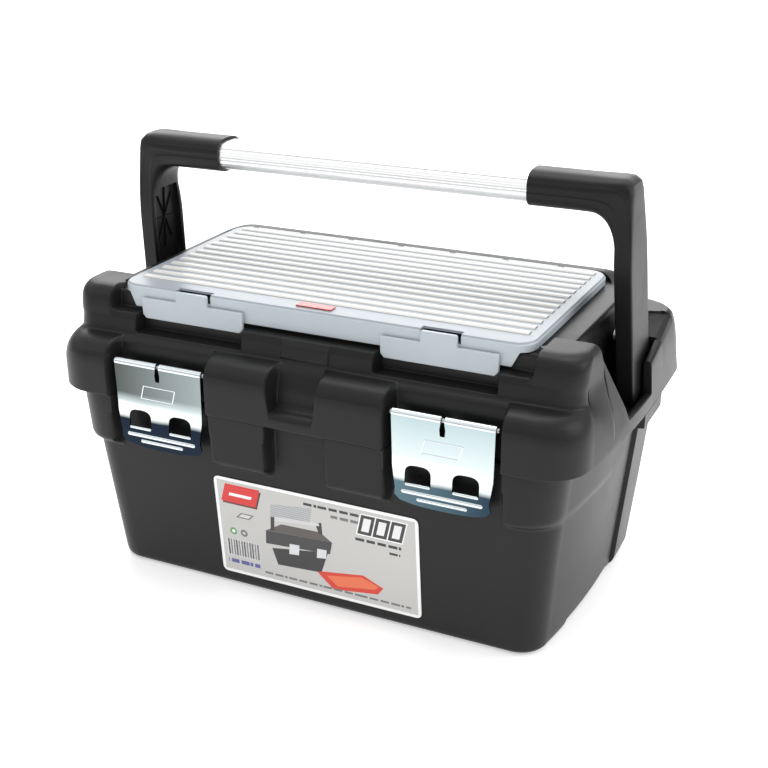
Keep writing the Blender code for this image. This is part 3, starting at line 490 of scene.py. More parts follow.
# Each profile is a list of inset and height, from the parting line up and over to the well's floor.
deckWall = [(34.5, 215), (36, 229), (37.5, 231.5), (39, 232)]
bumper = [(0, foot), (0, 186), (1.9, 193.5), (7, 199), (14, 201.2), (24, 202), (24.8, 204.4),
          (25, 205.2), (26.5, 213.8), (26.8, 214.6)]
underCover = [(28, 219), (39.5, 219.5), (40.5, 231), (42, 232), (43, 232), (44, 232)]
frontBlock = [(27.6, 222), (29.5, 230), (33, 234.4), (39, 236), (48.5, 236), (44, 232)]
nearFront = [(0, foot), (0, 180), (1.5, 188), (4, 193.5), (6.5, 197), (8.5, 199.5), (9.5, 201.5),
             (10, 204), (10.5, 210), (11, 215), (12, 222), (13.5, 229), (16, 233.5), (20, 236),
             (50.5, 236), (52, 232)]
endBlock = [(0, foot), (0, 166), (0.3, 174), (1.6, 182), (3.3, 189), (5, 195), (6.5, 200.5),
            (8, 206), (9.5, 211.5), (10.8, 216.5), (12, 222), (14, 229), (16.5, 233.5), (20, 236),
            (50.5, 236), (52, 232)]
wellFrontTail = [(44.8, 232), (46.5, 232), (48.5, 192)]
wellEndTail = [(52.8, 232), (61.5, 232), (63.5, 192)]
wellRearTail = [(48.2, 232), (57, 232), (59, 192)]


# The front's profile at x, in mm from the middle: the bumper, with a pocket for each latch, a notch in
# the middle, a ledge under each clip and the tall block at the end. grow widens the openings for
# the inner skin.
def lidFront(x, grow=0.0):
    count = len(x)
    rows = blend(rowsOf(bumper + underCover + wellFrontTail, count),
                 rowsOf(bumper + frontBlock + wellFrontTail, count), smooth(x, 171.5, 175))
    pocket = rows.copy()
    pocket[:, :5] = [(18.5, foot), (18.5, 186), (18.5, 190), (19, 195), (20, 199.5)]
    half = lid["latchHalf"] + 0.7 + grow
    rows = blend(rows, pocket, between(x, lid["latchX"] - half, lid["latchX"] + half, 5.0))
    notch = rows.copy()
    notch[:, 1:6] = [(0, 169.5), (12, 171), (14, 185), (19, 199), (24, 203)]
    rows = blend(rows, notch, 1 - smooth(x, 17.0 + grow, 21.5 + grow))
    ledge = rows.copy()
    ledge[:, 7:11, 0] = 37
    half = lid["clipHalf"] + grow
    rows = blend(rows, ledge, between(x, lid["clipX"] - half, lid["clipX"] + half, 2.4))
    rows[:, 7:10, 0] -= 1.6 * (1 - smooth(x, 19.0, 20.4))[:, None]
    return rows


def rampHeight(y):  # a straight climb towards the rear, up to a level top
    return np.minimum(lid["rampLow"] + lid["rampSlope"] * (y - lid["rampStart"]), lid["rampHigh"])


def slotRows(y):  # the lip outside the arm slot and the floor that climbs to the front block
    floor = lid["slotFloor"] + lid["slope"] * np.maximum(0, lid["slotFront"] - y)
    top = np.maximum(lid["lip"], floor + 1.5)
    inset, height = np.array(endBlock[:14]).T
    up = foot + np.array([0, 0.35, 0.65, 0.88, 1])[None] * (top - foot)[:, None]
    up[:, 1:3] = np.minimum(up[:, 1:3], (168, 187))
    outer = np.interp(up, height, inset)
    lip = outer[:, -1]
    rows = np.zeros((len(y), 19, 2))
    rows[:, :5] = np.stack([outer, up], -1)
    rest = [(lip + 5, top), (lip + 6, np.maximum(top - 1.5, floor + 0.5)), (lip + 6.8, floor + 0.4),
            (lip + 8, floor), (31 + 0 * y, floor), (32 + 0 * y, floor + 1.2),
            (34.5 + 0 * y, np.maximum(215, floor + 1.8)), (36 + 0 * y, np.maximum(229, floor + 2.4)),
            (37.5 + 0 * y, np.maximum(231.5, floor + 3)), (39 + 0 * y, np.maximum(232, floor + 3.5))]
    rows[:, 5:15] = np.stack([np.stack(pair, -1) for pair in rest], 1)
    rows[:, 15:] = [(52, 232)] + wellEndTail
    return rows


def stripRows(y):  # the wall beside the rear half of the slot
    top = rampHeight(y)
    one = np.ones_like(y)
    pairs = [(0, foot), (0.5, 168), (1, 177), (2, top - 4), (3.2, top), (7.8, top), (8.4, top - 1.5),
             (8.8, lid["slotFloor"] + 1), (10, lid["slotFloor"]), (31, lid["slotFloor"]),
             (32, lid["slotFloor"] + 1.2)] + deckWall + [(52, 232)] + wellEndTail
    return np.stack([np.stack([inset * one, height * one], -1) for inset, height in pairs], 1)


def rampRows(y):  # the slope behind the slot, on which the folded arm comes to rest
    top = rampHeight(y)
    share = np.array([0, 0.22, 0.42, 0.58, 0.72, 0.85, 0.95, 1, 1, 1, 1])
    inset = np.array([0, 0.5, 1, 1.5, 2.2, 3.2, 5, 8, 12, 30, 34.5])
    rise = np.stack([np.broadcast_to(inset, (len(y), 11)), foot + share * (top - foot)[:, None]], -1)
    wall = rowsOf([(35, 218), (36, 229), (37.5, 231.5), (39, 232), (52, 232)] + wellEndTail, len(y))
    return np.concatenate([rise, wall], 1)


# The end's profile at y: from front to rear the upright corner, the front block, the arm slot, the
# wall beside the slot and the ramp, each eased into the next.
def lidEnd(y, grow=0.0):
    block = rowsOf(endBlock + wellEndTail, len(y))
    near = rowsOf(nearFront + wellEndTail, len(y))
    block = blend(block, near, 1 - smooth(y, -112, -76))
    rows = blend(block, slotRows(y), smooth(y, lid["blockRear"] - 2.5 - grow, lid["blockRear"] + 1 - grow))
    rows = blend(rows, stripRows(y), smooth(y, 8.2, 10.2))
    return blend(rows, rampRows(y), smooth(y, lid["stripRear"] - 0.8 + grow, lid["stripRear"] + 1.6 + grow))


# The rear's profile at x: a slope that rounds over at the top in the middle, a stepped one at the ends.
def lidRear(x):
    low = [(0, foot), (4, 170), (6.5, 178), (8.5, 185), (10.5, 191), (12.5, 197)]
    block = low + [(15, 204.5), (18.5, 209.2), (22, 213), (33, 214), (36.5, 214.5), (37, 220),
                   (37.5, 230), (38.2, 236.5), (39.5, 238), (47.4, 238)]
    middle = low + [(15, 203), (17, 207.5), (19.5, 212), (22, 216), (26, 222), (31, 229),
                    (35.5, 234.5), (38.5, 237.5), (39.5, 238), (47.4, 238)]
    return blend(rowsOf(block + wellRearTail, len(x)), rowsOf(middle + wellRearTail, len(x)),
                 1 - smooth(x, 168, 182))


def lidCorner():  # front radius, rear radius and bow at each level
    frontRadius = [33, 33, 33, 30, 25, 20, 19, 18, 17, 17, 17, 17, 18, 18, 3, 3, 3, 6, 6]
    rearRadius = [36, 36, 36, 36, 36, 36, 35, 34, 30, 28, 27, 27, 27, 26, 24, 16, 3, 6, 6]
    bow = [box["bow"] * share for share in [1] * 9 + [0.8, 0.6, 0.4, 0.25, 0.1] + [0] * 5]
    return np.array([frontRadius, rearRadius, bow], float).T


# The shell is one ring for each point of the profiles. The profile at a place along the front, end
# and rear is a mix of the tables above, weighted by eased steps of that place, and its corners
# are rounded. The inner skin is the same profiles moved one wall inwards.
def makeLid(paint):
    frontX = places(0, 196, 6, [17.5, 20, 75, 77, 158, 160.5, 55.5, 148.5, 173.3], 3)
    endY = places(-112, 118, 5, [-74, -43, 9.2, 40], 2.4)
    rearX = places(0, 196, 10, [175], 7)[::-1]
    cutFront = np.array([0, 5, 5, 4, 4, 1.6, 0.8, 0.8, 1, 0.8, 1.2, 1.4, 1.2, 1.5, 0.8, 0.8, 0.6, 1.5, 0])
    cutEnd = np.array([0, 4, 4, 4, 3, 1.6, 0.9, 0.9, 1.2, 2, 1.6, 4, 3, 1.5, 1, 0.8, 0.6, 1.5, 0])
    cutBlock = np.array([0, 4, 4, 4, 4, 4, 4, 4, 4, 4, 4, 4, 4, 7, 1, 0.8, 0.6, 1.5, 0])
    cutRear = np.array([0, 4, 4, 4, 4, 4, 4, 3, 3, 3, 3, 4, 3, 2, 1.2, 0.8, 0.6, 1.5, 0])
    front, end, rear = lidFront(frontX), lidEnd(endY), lidRear(rearX)
    cutF = cutFront + (cutBlock - cutFront) * smooth(frontX, 172, 176)[:, None]
    cutE = cutBlock + (cutEnd - cutBlock) * smooth(endY, -75, -69)[:, None]
    corner = lidCorner()
    path = np.concatenate([lidFront(np.array([190.0])), corner[None]], axis=2)
    outer = boxRings(roundPath(front, cutF), roundPath(end, cutE), roundPath(rear, cutRear), frontX,
                     endY, rearX, roundPath(path, cutBlock)[0, :, 2:])
    wall = lid["wall"]
    inside = [insetPath(rows, wall, True) for rows in (lidFront(frontX, wall), lidEnd(endY, wall), rear)]
    for rows in inside:
        rows[:, 0, 1] = foot
    cornerIn = corner.copy()
    cornerIn[:, :2] = np.maximum(cornerIn[:, :2] - wall, 1.0)
    inner = boxRings(*inside, frontX, endY, rearX, cornerIn)
    piece = shellPiece("lidShell", edged(outer, 1.2), inner)
    finishPiece(piece, "lid", paint, ["lid_shell"])


# The tub.
tub = {"wall": 2.6}
rim = box["partLine"] - box["gap"]


# The front's profile at x: a belt that stands proud, set back behind each latch and in the middle.
# The set-back parts widen a little from level to level.
def tubFront(x, grow=0.0):
    wall = [(16, 111.5), (20, 60), (24, 8), (25, 3), (30, 0)]
    belt = rowsOf([(3.5, rim), (3.5, 146), (3.5, 143.5), (3.5, 118)] + wall, len(x))
    gap = rowsOf([(15, rim), (15, 146), (15.2, 143.5), (15.6, 118)] + wall, len(x))
    lower = np.array([0, 0.5, 0.6, 2.0, 2.4, 2.4, 2.4, 2.4, 2.4])[None]
    half = lid["latchHalf"] + 0.7 + grow
    place = x[:, None]
    open1 = between(place, lid["latchX"] - half - lower, lid["latchX"] + half + lower, 3.4)
    open2 = 1 - smooth(place, 21.5 + lower + grow, 25.0 + lower + grow)
    return blend(belt, gap, np.maximum(open1, open2))


# The end's profile at y: a wall that slopes in towards its foot, prouder near the front, with a
# bracket at the rim and a pilaster below it, and with the foot cut back along the middle.
def tubEnd(y, grow=0.0):
    wall = [(15.5, rim), (16.5, 146), (16.8, 143.5), (19.3, 118), (20, 111.5), (25.5, 60), (31, 8),
            (32, 3), (37, 0)]
    rows = rowsOf(wall, len(y))
    k = np.arange(9)[None]
    place = y[:, None]
    rows[..., 0] -= 2.5 * (1 - smooth(place, -19.5, -16.5)) * (k <= 3)
    bracket = between(place, -3, 47.5, 2.0) * (k <= 1)
    rows[..., 0] += ((1.2 + 0.3 * k) - rows[..., 0]) * bracket
    rows[..., 0] -= 3.0 * between(place, 35 + grow, 77.5 - grow, 1.6) * ((k >= 2) & (k <= 6))
    lifted = rows.copy()
    lifted[:, 7] = (32, 6.5)
    lifted[:, 8] = (43, 0)
    return blend(rows, lifted, between(y, -66, 30, 4.0))


def tubRear(x):  # a plain slope, with a lip that stands out under the lid's rear edge
    wall = [(16, rim), (16.4, 146), (17, 143.5), (18.5, 118), (19, 111.5), (23, 60), (27, 8),
            (28, 3), (33, 0)]
    rows = rowsOf(wall, len(x))
    lip = rows.copy()
    lip[:, 0, 0], lip[:, 1, 0] = 1.0, 1.2
    return blend(rows, lip, 1 - smooth(x, 171, 176))


# The shell is made as the lid's is: one ring for each point of the front, end and rear profiles,
# rounded at their corners, and an inner skin one wall inside.
def makeTub(paint):
    frontX = places(0, 196, 7, [23.5, 75, 160.5], 4)
    endY = places(-112, 118, 6, [-65, -18, -3, 30, 35, 47.5, 77.5], 2.4)
    rearX = places(0, 196, 12, [173.5], 4)[::-1]
    front, end, rear = tubFront(frontX), tubEnd(endY), tubRear(rearX)
    cut = np.array([0, 0.7, 1.2, 3.5, 3, 20, 3, 3, 3])
    corner = np.array([[32, 32, 32, 32, 24, 23, 22, 21, 18], [26] * 9, [box["bow"] + 1] * 9], float).T
    path = np.concatenate([tubFront(np.array([190.0])), corner[None]], axis=2)
    outer = boxRings(*(roundPath(rows, cut, 5) for rows in (front, end, rear)), frontX, endY, rearX,
                     roundPath(path, cut, 5)[0, :, 2:])
    wall = tub["wall"]
    inside = [insetPath(rows, wall, False) for rows in (tubFront(frontX, wall), tubEnd(endY, wall), rear)]
    for rows in inside:
        rows[:, 0, 1] = rim
        rows[:, -1, 1] = wall
    cornerIn = corner.copy()
    cornerIn[:, :2] -= wall
    inner = boxRings(*inside, frontX, endY, rearX, cornerIn)
    piece = shellPiece("tubShell", edged(outer, -1.0), inner)
    finishPiece(piece, "body", paint, ["body_tub"])


hinge = {"x": 120.0, "y": 136.3, "z": 158.0, "radius": 6.2, "pin": 2.5, "lidEye": 18.0,
         "tubEye": 12.0, "gap": 0.5, "reach": 14.8}


# An eye with its web: the outline is a circle pushed out to a flat tongue towards -Y, and
# four loops of it (outer left, outer right, hole right, hole left) close on themselves.
def makeEye(name, x, width, webLow, webHigh, body, paint):
    angle = np.linspace(0, 2 * math.pi, 48, endpoint=False)
    outY, outZ = np.cos(angle) * hinge["radius"], np.sin(angle) * hinge["radius"]
    inWeb = (outY < 0) & (outZ > webLow - hinge["z"]) & (outZ < webHigh - hinge["z"])
    outY = np.where(inWeb, -hinge["reach"], outY)
    loops = []
    for side, small in ((-1, False), (1, False), (1, True), (-1, True)):
        y = np.cos(angle) * hinge["pin"] if small else outY
        z = np.sin(angle) * hinge["pin"] if small else outZ
        loops.append(np.stack([np.full(48, x + side * width / 2), hinge["y"] + y, hinge["z"] + z], -1))
    piece = addPiece(name, np.concatenate(loops), gridQuads(4, 48, wrapRows=True))
    bevelEdges(piece, 0.5, 2, 0.7)
    finishPiece(piece, body, paint, sharp=35)


def makeHinges(paint):
    for side, word in ((-1, "left"), (1, "right")):
        x = side * hinge["x"]
        makeEye("lidEye_" + word, x, hinge["lidEye"], 159, 163.5, "lid", paint)
        for end, letter in ((-1, "a"), (1, "b")):
            place = x + end * (hinge["lidEye"] / 2 + hinge["gap"] + hinge["tubEye"] / 2)
            makeEye(f"tubEye_{word}_{letter}", place, hinge["tubEye"], 152, 156.7, "body", paint)


# Pieces that keep the shape of their CAD node and gain rounded edges.
# merge joins flat faces into one, which can't be done where a flat face has an opening in it.
def roundedCopy(node, name, width, body, paint, segments=3, merge=True):
    mesh = nodes[node].data.copy()
    mesh.name = name
    work = bmesh.new()
    work.from_mesh(mesh)
    bmesh.ops.remove_doubles(work, verts=work.verts, dist=closest)
    bmesh.ops.dissolve_degenerate(work, edges=work.edges, dist=closest)
    if merge:
        bmesh.ops.dissolve_limit(work, angle_limit=math.radians(0.6), verts=work.verts, edges=work.edges)
    work.to_mesh(mesh)
    work.free()
    piece = placed(name, mesh)
    bevelEdges(piece, width, segments, math.radians(30))
    finishPiece(piece, body, paint, [node])


# A flat sheet from closed outlines in x and z (the first is the rim, the others are holes),
# cut across at the given heights so that it can bend there, then pushed to y = face + bend(z).
def sheetPiece(name, outlines, thick, heights, bend, edge=0.15):
    curve = bpy.data.curves.new(name, "CURVE")
    curve.dimensions, curve.fill_mode = "2D", "BOTH"
    curve.extrude, curve.bevel_depth, curve.bevel_resolution = (thick / 2 - edge) * mm, edge * mm, 1
    for outline in outlines:
        spline = curve.splines.new("POLY")
        spline.points.add(len(outline) - 1)
        flat = np.array([(x, z, 0, 1000) for x, z in outline]) * mm
        spline.points.foreach_set("co", flat.ravel())
        spline.use_cyclic_u = True
    source = placed(name, curve)
    graph = bpy.context.evaluated_depsgraph_get()
    mesh = bpy.data.meshes.new_from_object(source.evaluated_get(graph))
    bpy.data.objects.remove(source)
    work = bmesh.new()
    work.from_mesh(mesh)
    bmesh.ops.remove_doubles(work, verts=work.verts, dist=closest)
    for height in heights:
        parts = work.verts[:] + work.edges[:] + work.faces[:]
        bmesh.ops.bisect_plane(work, geom=parts, plane_co=(0, height * mm, 0), plane_no=(0, 1, 0))
    work.to_mesh(mesh)
    work.free()
    points = np.empty(len(mesh.vertices) * 3)
    mesh.vertices.foreach_get("co", points)
    x, z, y = points.reshape(-1, 3).T
    turned = np.stack([x, bend(z / mm) * mm - y, z], -1)
    mesh.vertices.foreach_set("co", turned.ravel())
    mesh.update()
    tidyMesh(mesh)
    mesh.name = name
    return placed(name, mesh)


def roundedOutline(corners, radius):  # each corner becomes a quadratic curve
    ring = np.array(corners, float)
    path = np.concatenate([ring[-1:], ring, ring[:1]])[None]
    curved = roundPath(path, radius, 6)[0]
    return curved[1:-1]


# A bar with round ends from start to end, standing out of a face along `up`: half of its width
# times cos(turn), at a height of rise times sin(turn).
def makeBar(name, start, end, up, width, rise, body, paint):
    start, end, up = (np.array(v, float) for v in (start, end, up))
    along = (end - start) / np.linalg.norm(end - start)
    side = np.cross(up, along)
    angle = np.linspace(0, 2 * math.pi, 24, endpoint=False)[:, None]
    spot = np.where(np.cos(angle) > 0, end, start)
    out = np.cos(angle) * along + np.sin(angle) * side
    loops = [spot + width / 2 * out - 0.3 * up]
    for turn in np.linspace(0, math.pi / 2, 5):
        loops.append(spot + width / 2 * math.cos(turn) * out + rise * math.sin(turn) * up)
    faces = gridQuads(6, 24).tolist() + [list(range(23, -1, -1))]
    piece = addPiece(name, np.concatenate(loops), faces)
    finishPiece(piece, body, paint)


latch = {"x": 117.8, "half": 38.9, "y": -134.4, "top": 186.3, "roll": 3.2, "sheet": 1.3,
         "foot": 117.6, "bendLow": 132.0, "bendHigh": 154.0, "window": 18.2, "windowHalf": 10.2,
         "windowLow": 134.6, "windowHigh": 149.6, "slot": 1.6,
         "notch": [(1.6, 1), (2.4, 6), (1.9, 11), (-1.9, 11), (-2.4, 6), (-1.6, 1)],
         "plaque": [(-16, 160), (12.5, 160), (15.5, 170.5), (-13, 170.5)], "plaqueMiddle": 166.0}


def latchBend(z):  # the sheet's middle: straight, then out by 1.0, then back towards the tub
    face = latch["y"] - latch["roll"] + latch["sheet"] / 2
    out = -1.1 * smooth(-z, -latch["bendHigh"] - 3, -latch["bendLow"])
    back = 1.6 * np.clip((latch["bendLow"] - z) / (latch["bendLow"] - latch["foot"]), 0, 1)
    return face + out + back


def windowOutline(x):  # a level foot, upright sides and an arch between them
    half, low, high = latch["windowHalf"], latch["windowLow"], latch["windowHigh"]
    turn = np.linspace(0, math.pi, 13)
    arch = np.stack([x + half * np.cos(turn) * np.abs(np.cos(turn)) ** -0.35,
                     high - 7 + 7 * np.sin(turn) ** 0.8], -1)
    arch[:, 0] = np.clip(arch[:, 0], x - half, x + half)
    return np.concatenate([[(x + half, low)], arch, [(x - half, low)]])[::-1]


def makeLatch(word, side, paint, bright):
    x, half = side * latch["x"], latch["half"]
    low = latch["foot"]
    sag = np.linspace(-1, 1, 17)
    lower = np.stack([x + (half - 6) * sag, low + 3.2 * sag ** 2 * np.abs(sag)], -1)
    top = latch["top"] - 1
    notch = [(x + aside, latch["top"] - drop) for aside, drop in latch["notch"]]
    leftSide = [(x - half, top), (x - half + 0.8, 148), (x - half + 3.2, 131), (x - half + 2.4, low + 7)]
    rightSide = [(x + half - 2.4, low + 7), (x + half - 3.2, 131), (x + half - 0.8, 148), (x + half, top)]
    border = np.concatenate([leftSide, lower, rightSide, notch])
    outlines = [border, windowOutline(x - latch["window"]), windowOutline(x + latch["window"])]
    heights = list(np.linspace(latch["bendLow"], latch["bendHigh"] + 3, 7)) + [low + 5, low + 9]
    body = "latch_" + word
    plate = sheetPiece("latchPlate_" + word, outlines, latch["sheet"], heights, latchBend)
    finishPiece(plate, body, paint, [body], sharp=30)
    for part, start, stop in (("a", x - half, x - latch["slot"]), ("b", x + latch["slot"], x + half)):
        makeRoll(f"latchRoll_{word}_{part}", start, stop, body, bright)
    front = (0, -1, 0)

    def face(z):
        return latchBend(np.array([z]))[0] - latch["sheet"] / 2

    for part, reach, z, width in (("Long", 29.5, 128.4, 3.4), ("Short", 18.0, 123.4, 3.0)):
        y = face(z) + 0.1
        makeBar(f"latchRib{part}_{word}", (x - reach, y, z), (x + reach, y, z), front, width, 1.2, body,
                bright)
    for end, letter in ((-1, "a"), (1, "b")):
        spot, z = x + end * latch["window"], latch["windowLow"]
        y = face(z) + 0.2
        makeBar(f"latchLip_{word}_{letter}", (spot - 8.6, y, z), (spot + 8.6, y, z), front, 2.6, 1.3, body,
                bright)
    y = face(latch["plaqueMiddle"])
    corners = np.array(latch["plaque"])
    for start, end, letter in zip(corners, np.roll(corners, -1, axis=0), "abcd"):
        makeBar(f"latchPlaque_{word}_{letter}", (x + start[0], y, start[1]), (x + end[0], y, end[1]),
                front, 1.0, 0.5, body, bright)


# The top edge is rolled round its axis by 300 degrees: two arcs of the same turn, one sheet apart.
def makeRoll(name, start, stop, body, paint):
    turn = np.linspace(math.radians(205), math.radians(-95), 26)
    loops = []
    for radius in (latch["roll"], latch["roll"] - 0.9):
        loops.append(np.stack([latch["y"] + radius * np.cos(turn),
                               latch["top"] + radius * np.sin(turn)], -1))
    section = np.concatenate([loops[0], loops[1][::-1]])
    ends = [np.column_stack([np.full(len(section), place), section]) for place in (start, stop)]
    count = len(section)
    faces = gridQuads(2, count).tolist()
    strip = np.arange(25)
    for base, order in ((0, 1), (count, -1)):
        quads = np.stack([strip, strip + 1, count - 2 - strip, count - 1 - strip], -1) + base
        faces += quads[:, ::order].tolist()
    roll = addPiece(name, np.concatenate(ends), faces)
    finishPiece(roll, body, paint)


# The handle.
grip = {"y": -1.0, "z": 322.0, "deep": 32.0, "tall": 22.5, "half": 153.5, "flutes": 12,
        "fluteDepth": 0.35}
arm = {"grow": 2.2, "sleeveEnd": 130.3, "sleeveHalf": 18.2, "out": 207.0, "splay": 0.0525, "thick": 13.5,
       "lean": 0.095, "half": 22.0, "foot": 168.0, "bend": 28.0, "bendAcross": 20.0, "pivot": 212.0,
       "pivotAcross": 190.0, "pin": 5.3, "channel": 5.0, "channelLow": 182.0, "channelHigh": 292.0,
       "groove": 0.35, "star": 261.0, "starAcross": 13.5, "starUp": 27.0}


def armOuter(z):  # the outer side leans outwards by the splay as it goes down
    return arm["out"] + (grip["z"] + grip["tall"] / 2 + arm["grow"] - z) * arm["splay"]


# Each station joins a point of the inner outline to one of the outer outline, and its section
# is a superellipse over that line: half * sign(cos) |cos|^p across, the same with sin along. The
# inner side sinks into a channel, and the sleeve has fine grooves along it.
def makeArm(word, side, paint):
    top = grip["z"] + grip["tall"] / 2 + arm["grow"]
    under = 2 * grip["z"] - top
    bendZ = under - arm["bend"]
    bendX = armOuter(280.0) - arm["thick"]
    turn = np.linspace(0, math.pi / 2, 12)[1:-1]
    flat = np.linspace(arm["sleeveEnd"], bendX - arm["bendAcross"], 12)
    down = np.linspace(bendZ, arm["foot"], 40)
    inner = np.concatenate([np.column_stack([flat, np.full(12, under)]),
                            np.column_stack([bendX - arm["bendAcross"] + arm["bendAcross"] * np.sin(turn),
                                             bendZ + arm["bend"] * np.cos(turn)]),
                            np.column_stack([armOuter(down) - arm["thick"], down])])
    path = np.array([[(bendX - 12, top), (armOuter(top), top), (armOuter(290.0), 290.0)]])
    corner = roundPath(path, 9, 8)[0]
    steps = np.concatenate([[0], np.cumsum(np.hypot(*np.diff(corner, axis=0).T))])
    along = np.linspace(0, steps[-1], 12)[1:-1]
    bent = np.column_stack([np.interp(along, steps, corner[:, k]) for k in (0, 1)])
    outFlat = np.linspace(arm["sleeveEnd"], bendX - 12, 12)
    outDown = np.concatenate([np.linspace(290, 262, 8)[:-1], np.linspace(262, arm["foot"], 33)])
    outer = np.concatenate([np.column_stack([outFlat, np.full(12, top)]), bent,
                            np.column_stack([armOuter(outDown), outDown])])
    middle, reach = (inner + outer) / 2, (outer - inner) / 2
    angle = np.linspace(0, 2 * math.pi, 97)[:-1]
    angle = angle - 0.2 * np.sin(4 * angle)
    height = middle[:, 1]
    half = arm["sleeveHalf"] + (arm["half"] - arm["sleeveHalf"]) * smooth(grip["z"] - height, 5, 60)
    power = 0.7 - 0.58 * smooth(np.arange(len(middle)), 8, 24)
    cosine = np.sign(np.cos(angle)) * np.abs(np.cos(angle)) ** power[:, None]
    sine = np.sign(np.sin(angle)) * np.abs(np.sin(angle)) ** power[:, None]
    lean = grip["y"] + (grip["z"] - height) * arm["lean"]
    hollow = smooth(-sine, 0.75, 0.95) * (1 - smooth(np.abs(cosine), 0.72, 0.80))
    hollow *= (between(height, arm["channelLow"], arm["channelHigh"], 6.0) * arm["channel"] / 6.75)[:, None]
    sine = sine + hollow
    grooves = (np.cos(angle * 26) > 0.3) * (np.abs(np.cos(angle)) > 0.75) * (np.sin(angle) > -0.2)
    onSleeve = (1 - smooth(np.arange(len(middle)), 20, 24))[:, None]
    y = lean[:, None] + (half[:, None] - arm["groove"] * grooves * onSleeve) * cosine
    rings = np.stack([side * (middle[:, :1] + reach[:, :1] * sine), y,
                      middle[:, 1:] + reach[:, 1:] * sine], -1)
    low = rings[-1, :, 2]
    rings[-1, :, 2] = np.where(rings[-1, :, 1] > lean[-1], low + 7, low)
    rings[-2, :, 2] = np.maximum(rings[-2, :, 2], rings[-1, :, 2] + 1)
    rings[-3, :, 2] = np.maximum(rings[-3, :, 2], rings[-1, :, 2] + 2)
    rings[-4, :, 2] = np.maximum(rings[-4, :, 2], rings[-1, :, 2] + 3)
    faces = gridQuads(len(rings), 96).tolist()
    faces += [list(range(96)), list(range(96 * len(rings) - 1, 96 * len(rings) - 97, -1))]
    piece = addPiece("armShell_" + word, rings.reshape(-1, 3), faces)
    lean = grip["y"] + (grip["z"] - arm["pivot"]) * arm["lean"]
    drill(piece, (side * arm["pivotAcross"], lean, arm["pivot"]), arm["pin"],
          armOuter(arm["pivot"]) - 4 - arm["pivotAcross"])
    finishPiece(piece, "handle", paint, ["handle_arm_" + word], sharp=35)
    star = arm["star"]
    inside = armOuter(star) - arm["thick"] + arm["channel"]
    lean = grip["y"] + (grip["z"] - star) * arm["lean"]
    for number, turn in enumerate(np.linspace(0, math.pi, 5)[:-1]):
        across, up = arm["starAcross"] * math.sin(turn), arm["starUp"] * math.cos(turn)
        start = (side * (inside + arm["splay"] * up), lean - across, star - up)
        end = (side * (inside - arm["splay"] * up), lean + across, star + up)
        makeBar(f"armRib_{word}_{number}", start, end, (-side, 0, 0), 0.8, 1.5, "handle",
                paint)


def drill(piece, place, radius, reach):  # takes a round hole along x out of the piece
    bpy.ops.mesh.primitive_cylinder_add(vertices=32, radius=radius * mm, depth=2 * reach * mm,
                                        location=[v * mm for v in place], rotation=(0, math.pi / 2, 0))
    cutter = bpy.context.object
    hole = piece.modifiers.new("hole", "BOOLEAN")
    hole.object, hole.operation, hole.solver = cutter, "DIFFERENCE", "EXACT"
    graph = bpy.context.evaluated_depsgraph_get()
    made = bpy.data.meshes.new_from_object(piece.evaluated_get(graph))
    piece.modifiers.clear()
    piece.data = made
    bpy.data.objects.remove(cutter)


catch = {"x": 102.0, "half": 15.0, "low": 228.4, "high": 230.6, "y": -102.5, "thick": 5.4, "corner": 0.6,
         "edge": 0.4}


# The floor of the cover's cut-out behind a clip's tongue: a rounded rectangle, thickened along y.
def makeCatch(word, side, paint):
    left, right = side * catch["x"] - catch["half"], side * catch["x"] + catch["half"]
    corners = [(left, catch["low"]), (right, catch["low"]), (right, catch["high"]), (left, catch["high"])]
    piece = sheetPiece("catch_" + word, [roundedOutline(corners, catch["corner"])], catch["thick"], [],
                       lambda z: catch["y"] + 0 * z, catch["edge"])
    finishPiece(piece, "cover", paint)


# The tube's section is a superellipse, half * sign(cos) |cos|^0.7 by half * sign(sin) |sin|^0.7, and
# fine flutes, a cosine of the height, sink into its front and back.
def makeTube(paint):
    angle = np.linspace(0, 2 * math.pi, 241)[:-1]
    cosine, sine = np.cos(angle), np.sin(angle)
    y = grip["deep"] / 2 * np.sign(cosine) * np.abs(cosine) ** 0.7
    z = grip["tall"] / 2 * np.sign(sine) * np.abs(sine) ** 0.7
    side = smooth(np.abs(cosine), 0.5, 0.65) * between(z, -3.0, 9.0, 1.5)
    wave = np.cos(2 * math.pi * grip["flutes"] * (z / grip["tall"]))
    dip = grip["fluteDepth"] * side * (0.5 - 0.5 * wave)
    long = np.hypot(y, z)
    y, z = y * (1 - dip / long), z * (1 - dip / long)
    ring = np.stack([grip["y"] + y, grip["z"] + z], -1)
    loops = [np.column_stack([np.full(240, x), ring]) for x in (-grip["half"], grip["half"])]
    faces = gridQuads(2, 240).tolist() + [list(range(240)), list(range(479, 239, -1))]
    piece = addPiece("handleTube", np.concatenate(loops), faces)
    finishPiece(piece, "handle", paint, ["handle_tube"])


# A rounded rectangle that lies on the front wall: it follows the wall's two straight slopes, which
# meet at a height of 60 mm.
def makeLabel(paint):
    size = labelSize
    corners = [(size["left"], size["low"]), (size["right"], size["low"]), (size["right"], size["high"]),
               (size["left"], size["high"])]

    def wallY(z):
        slope = np.where(z > 60, 20 - (z - 60) / 51.5 * 4, 20 + (60 - z) / 52 * 4)
        return box["front"] + slope - 0.55

    piece = sheetPiece("labelSheet", [roundedOutline(corners, size["corner"])], 0.4, [50, 60, 70], wallY,
                       0.05)
    finishPiece(piece, "body", paint, ["front_label"])


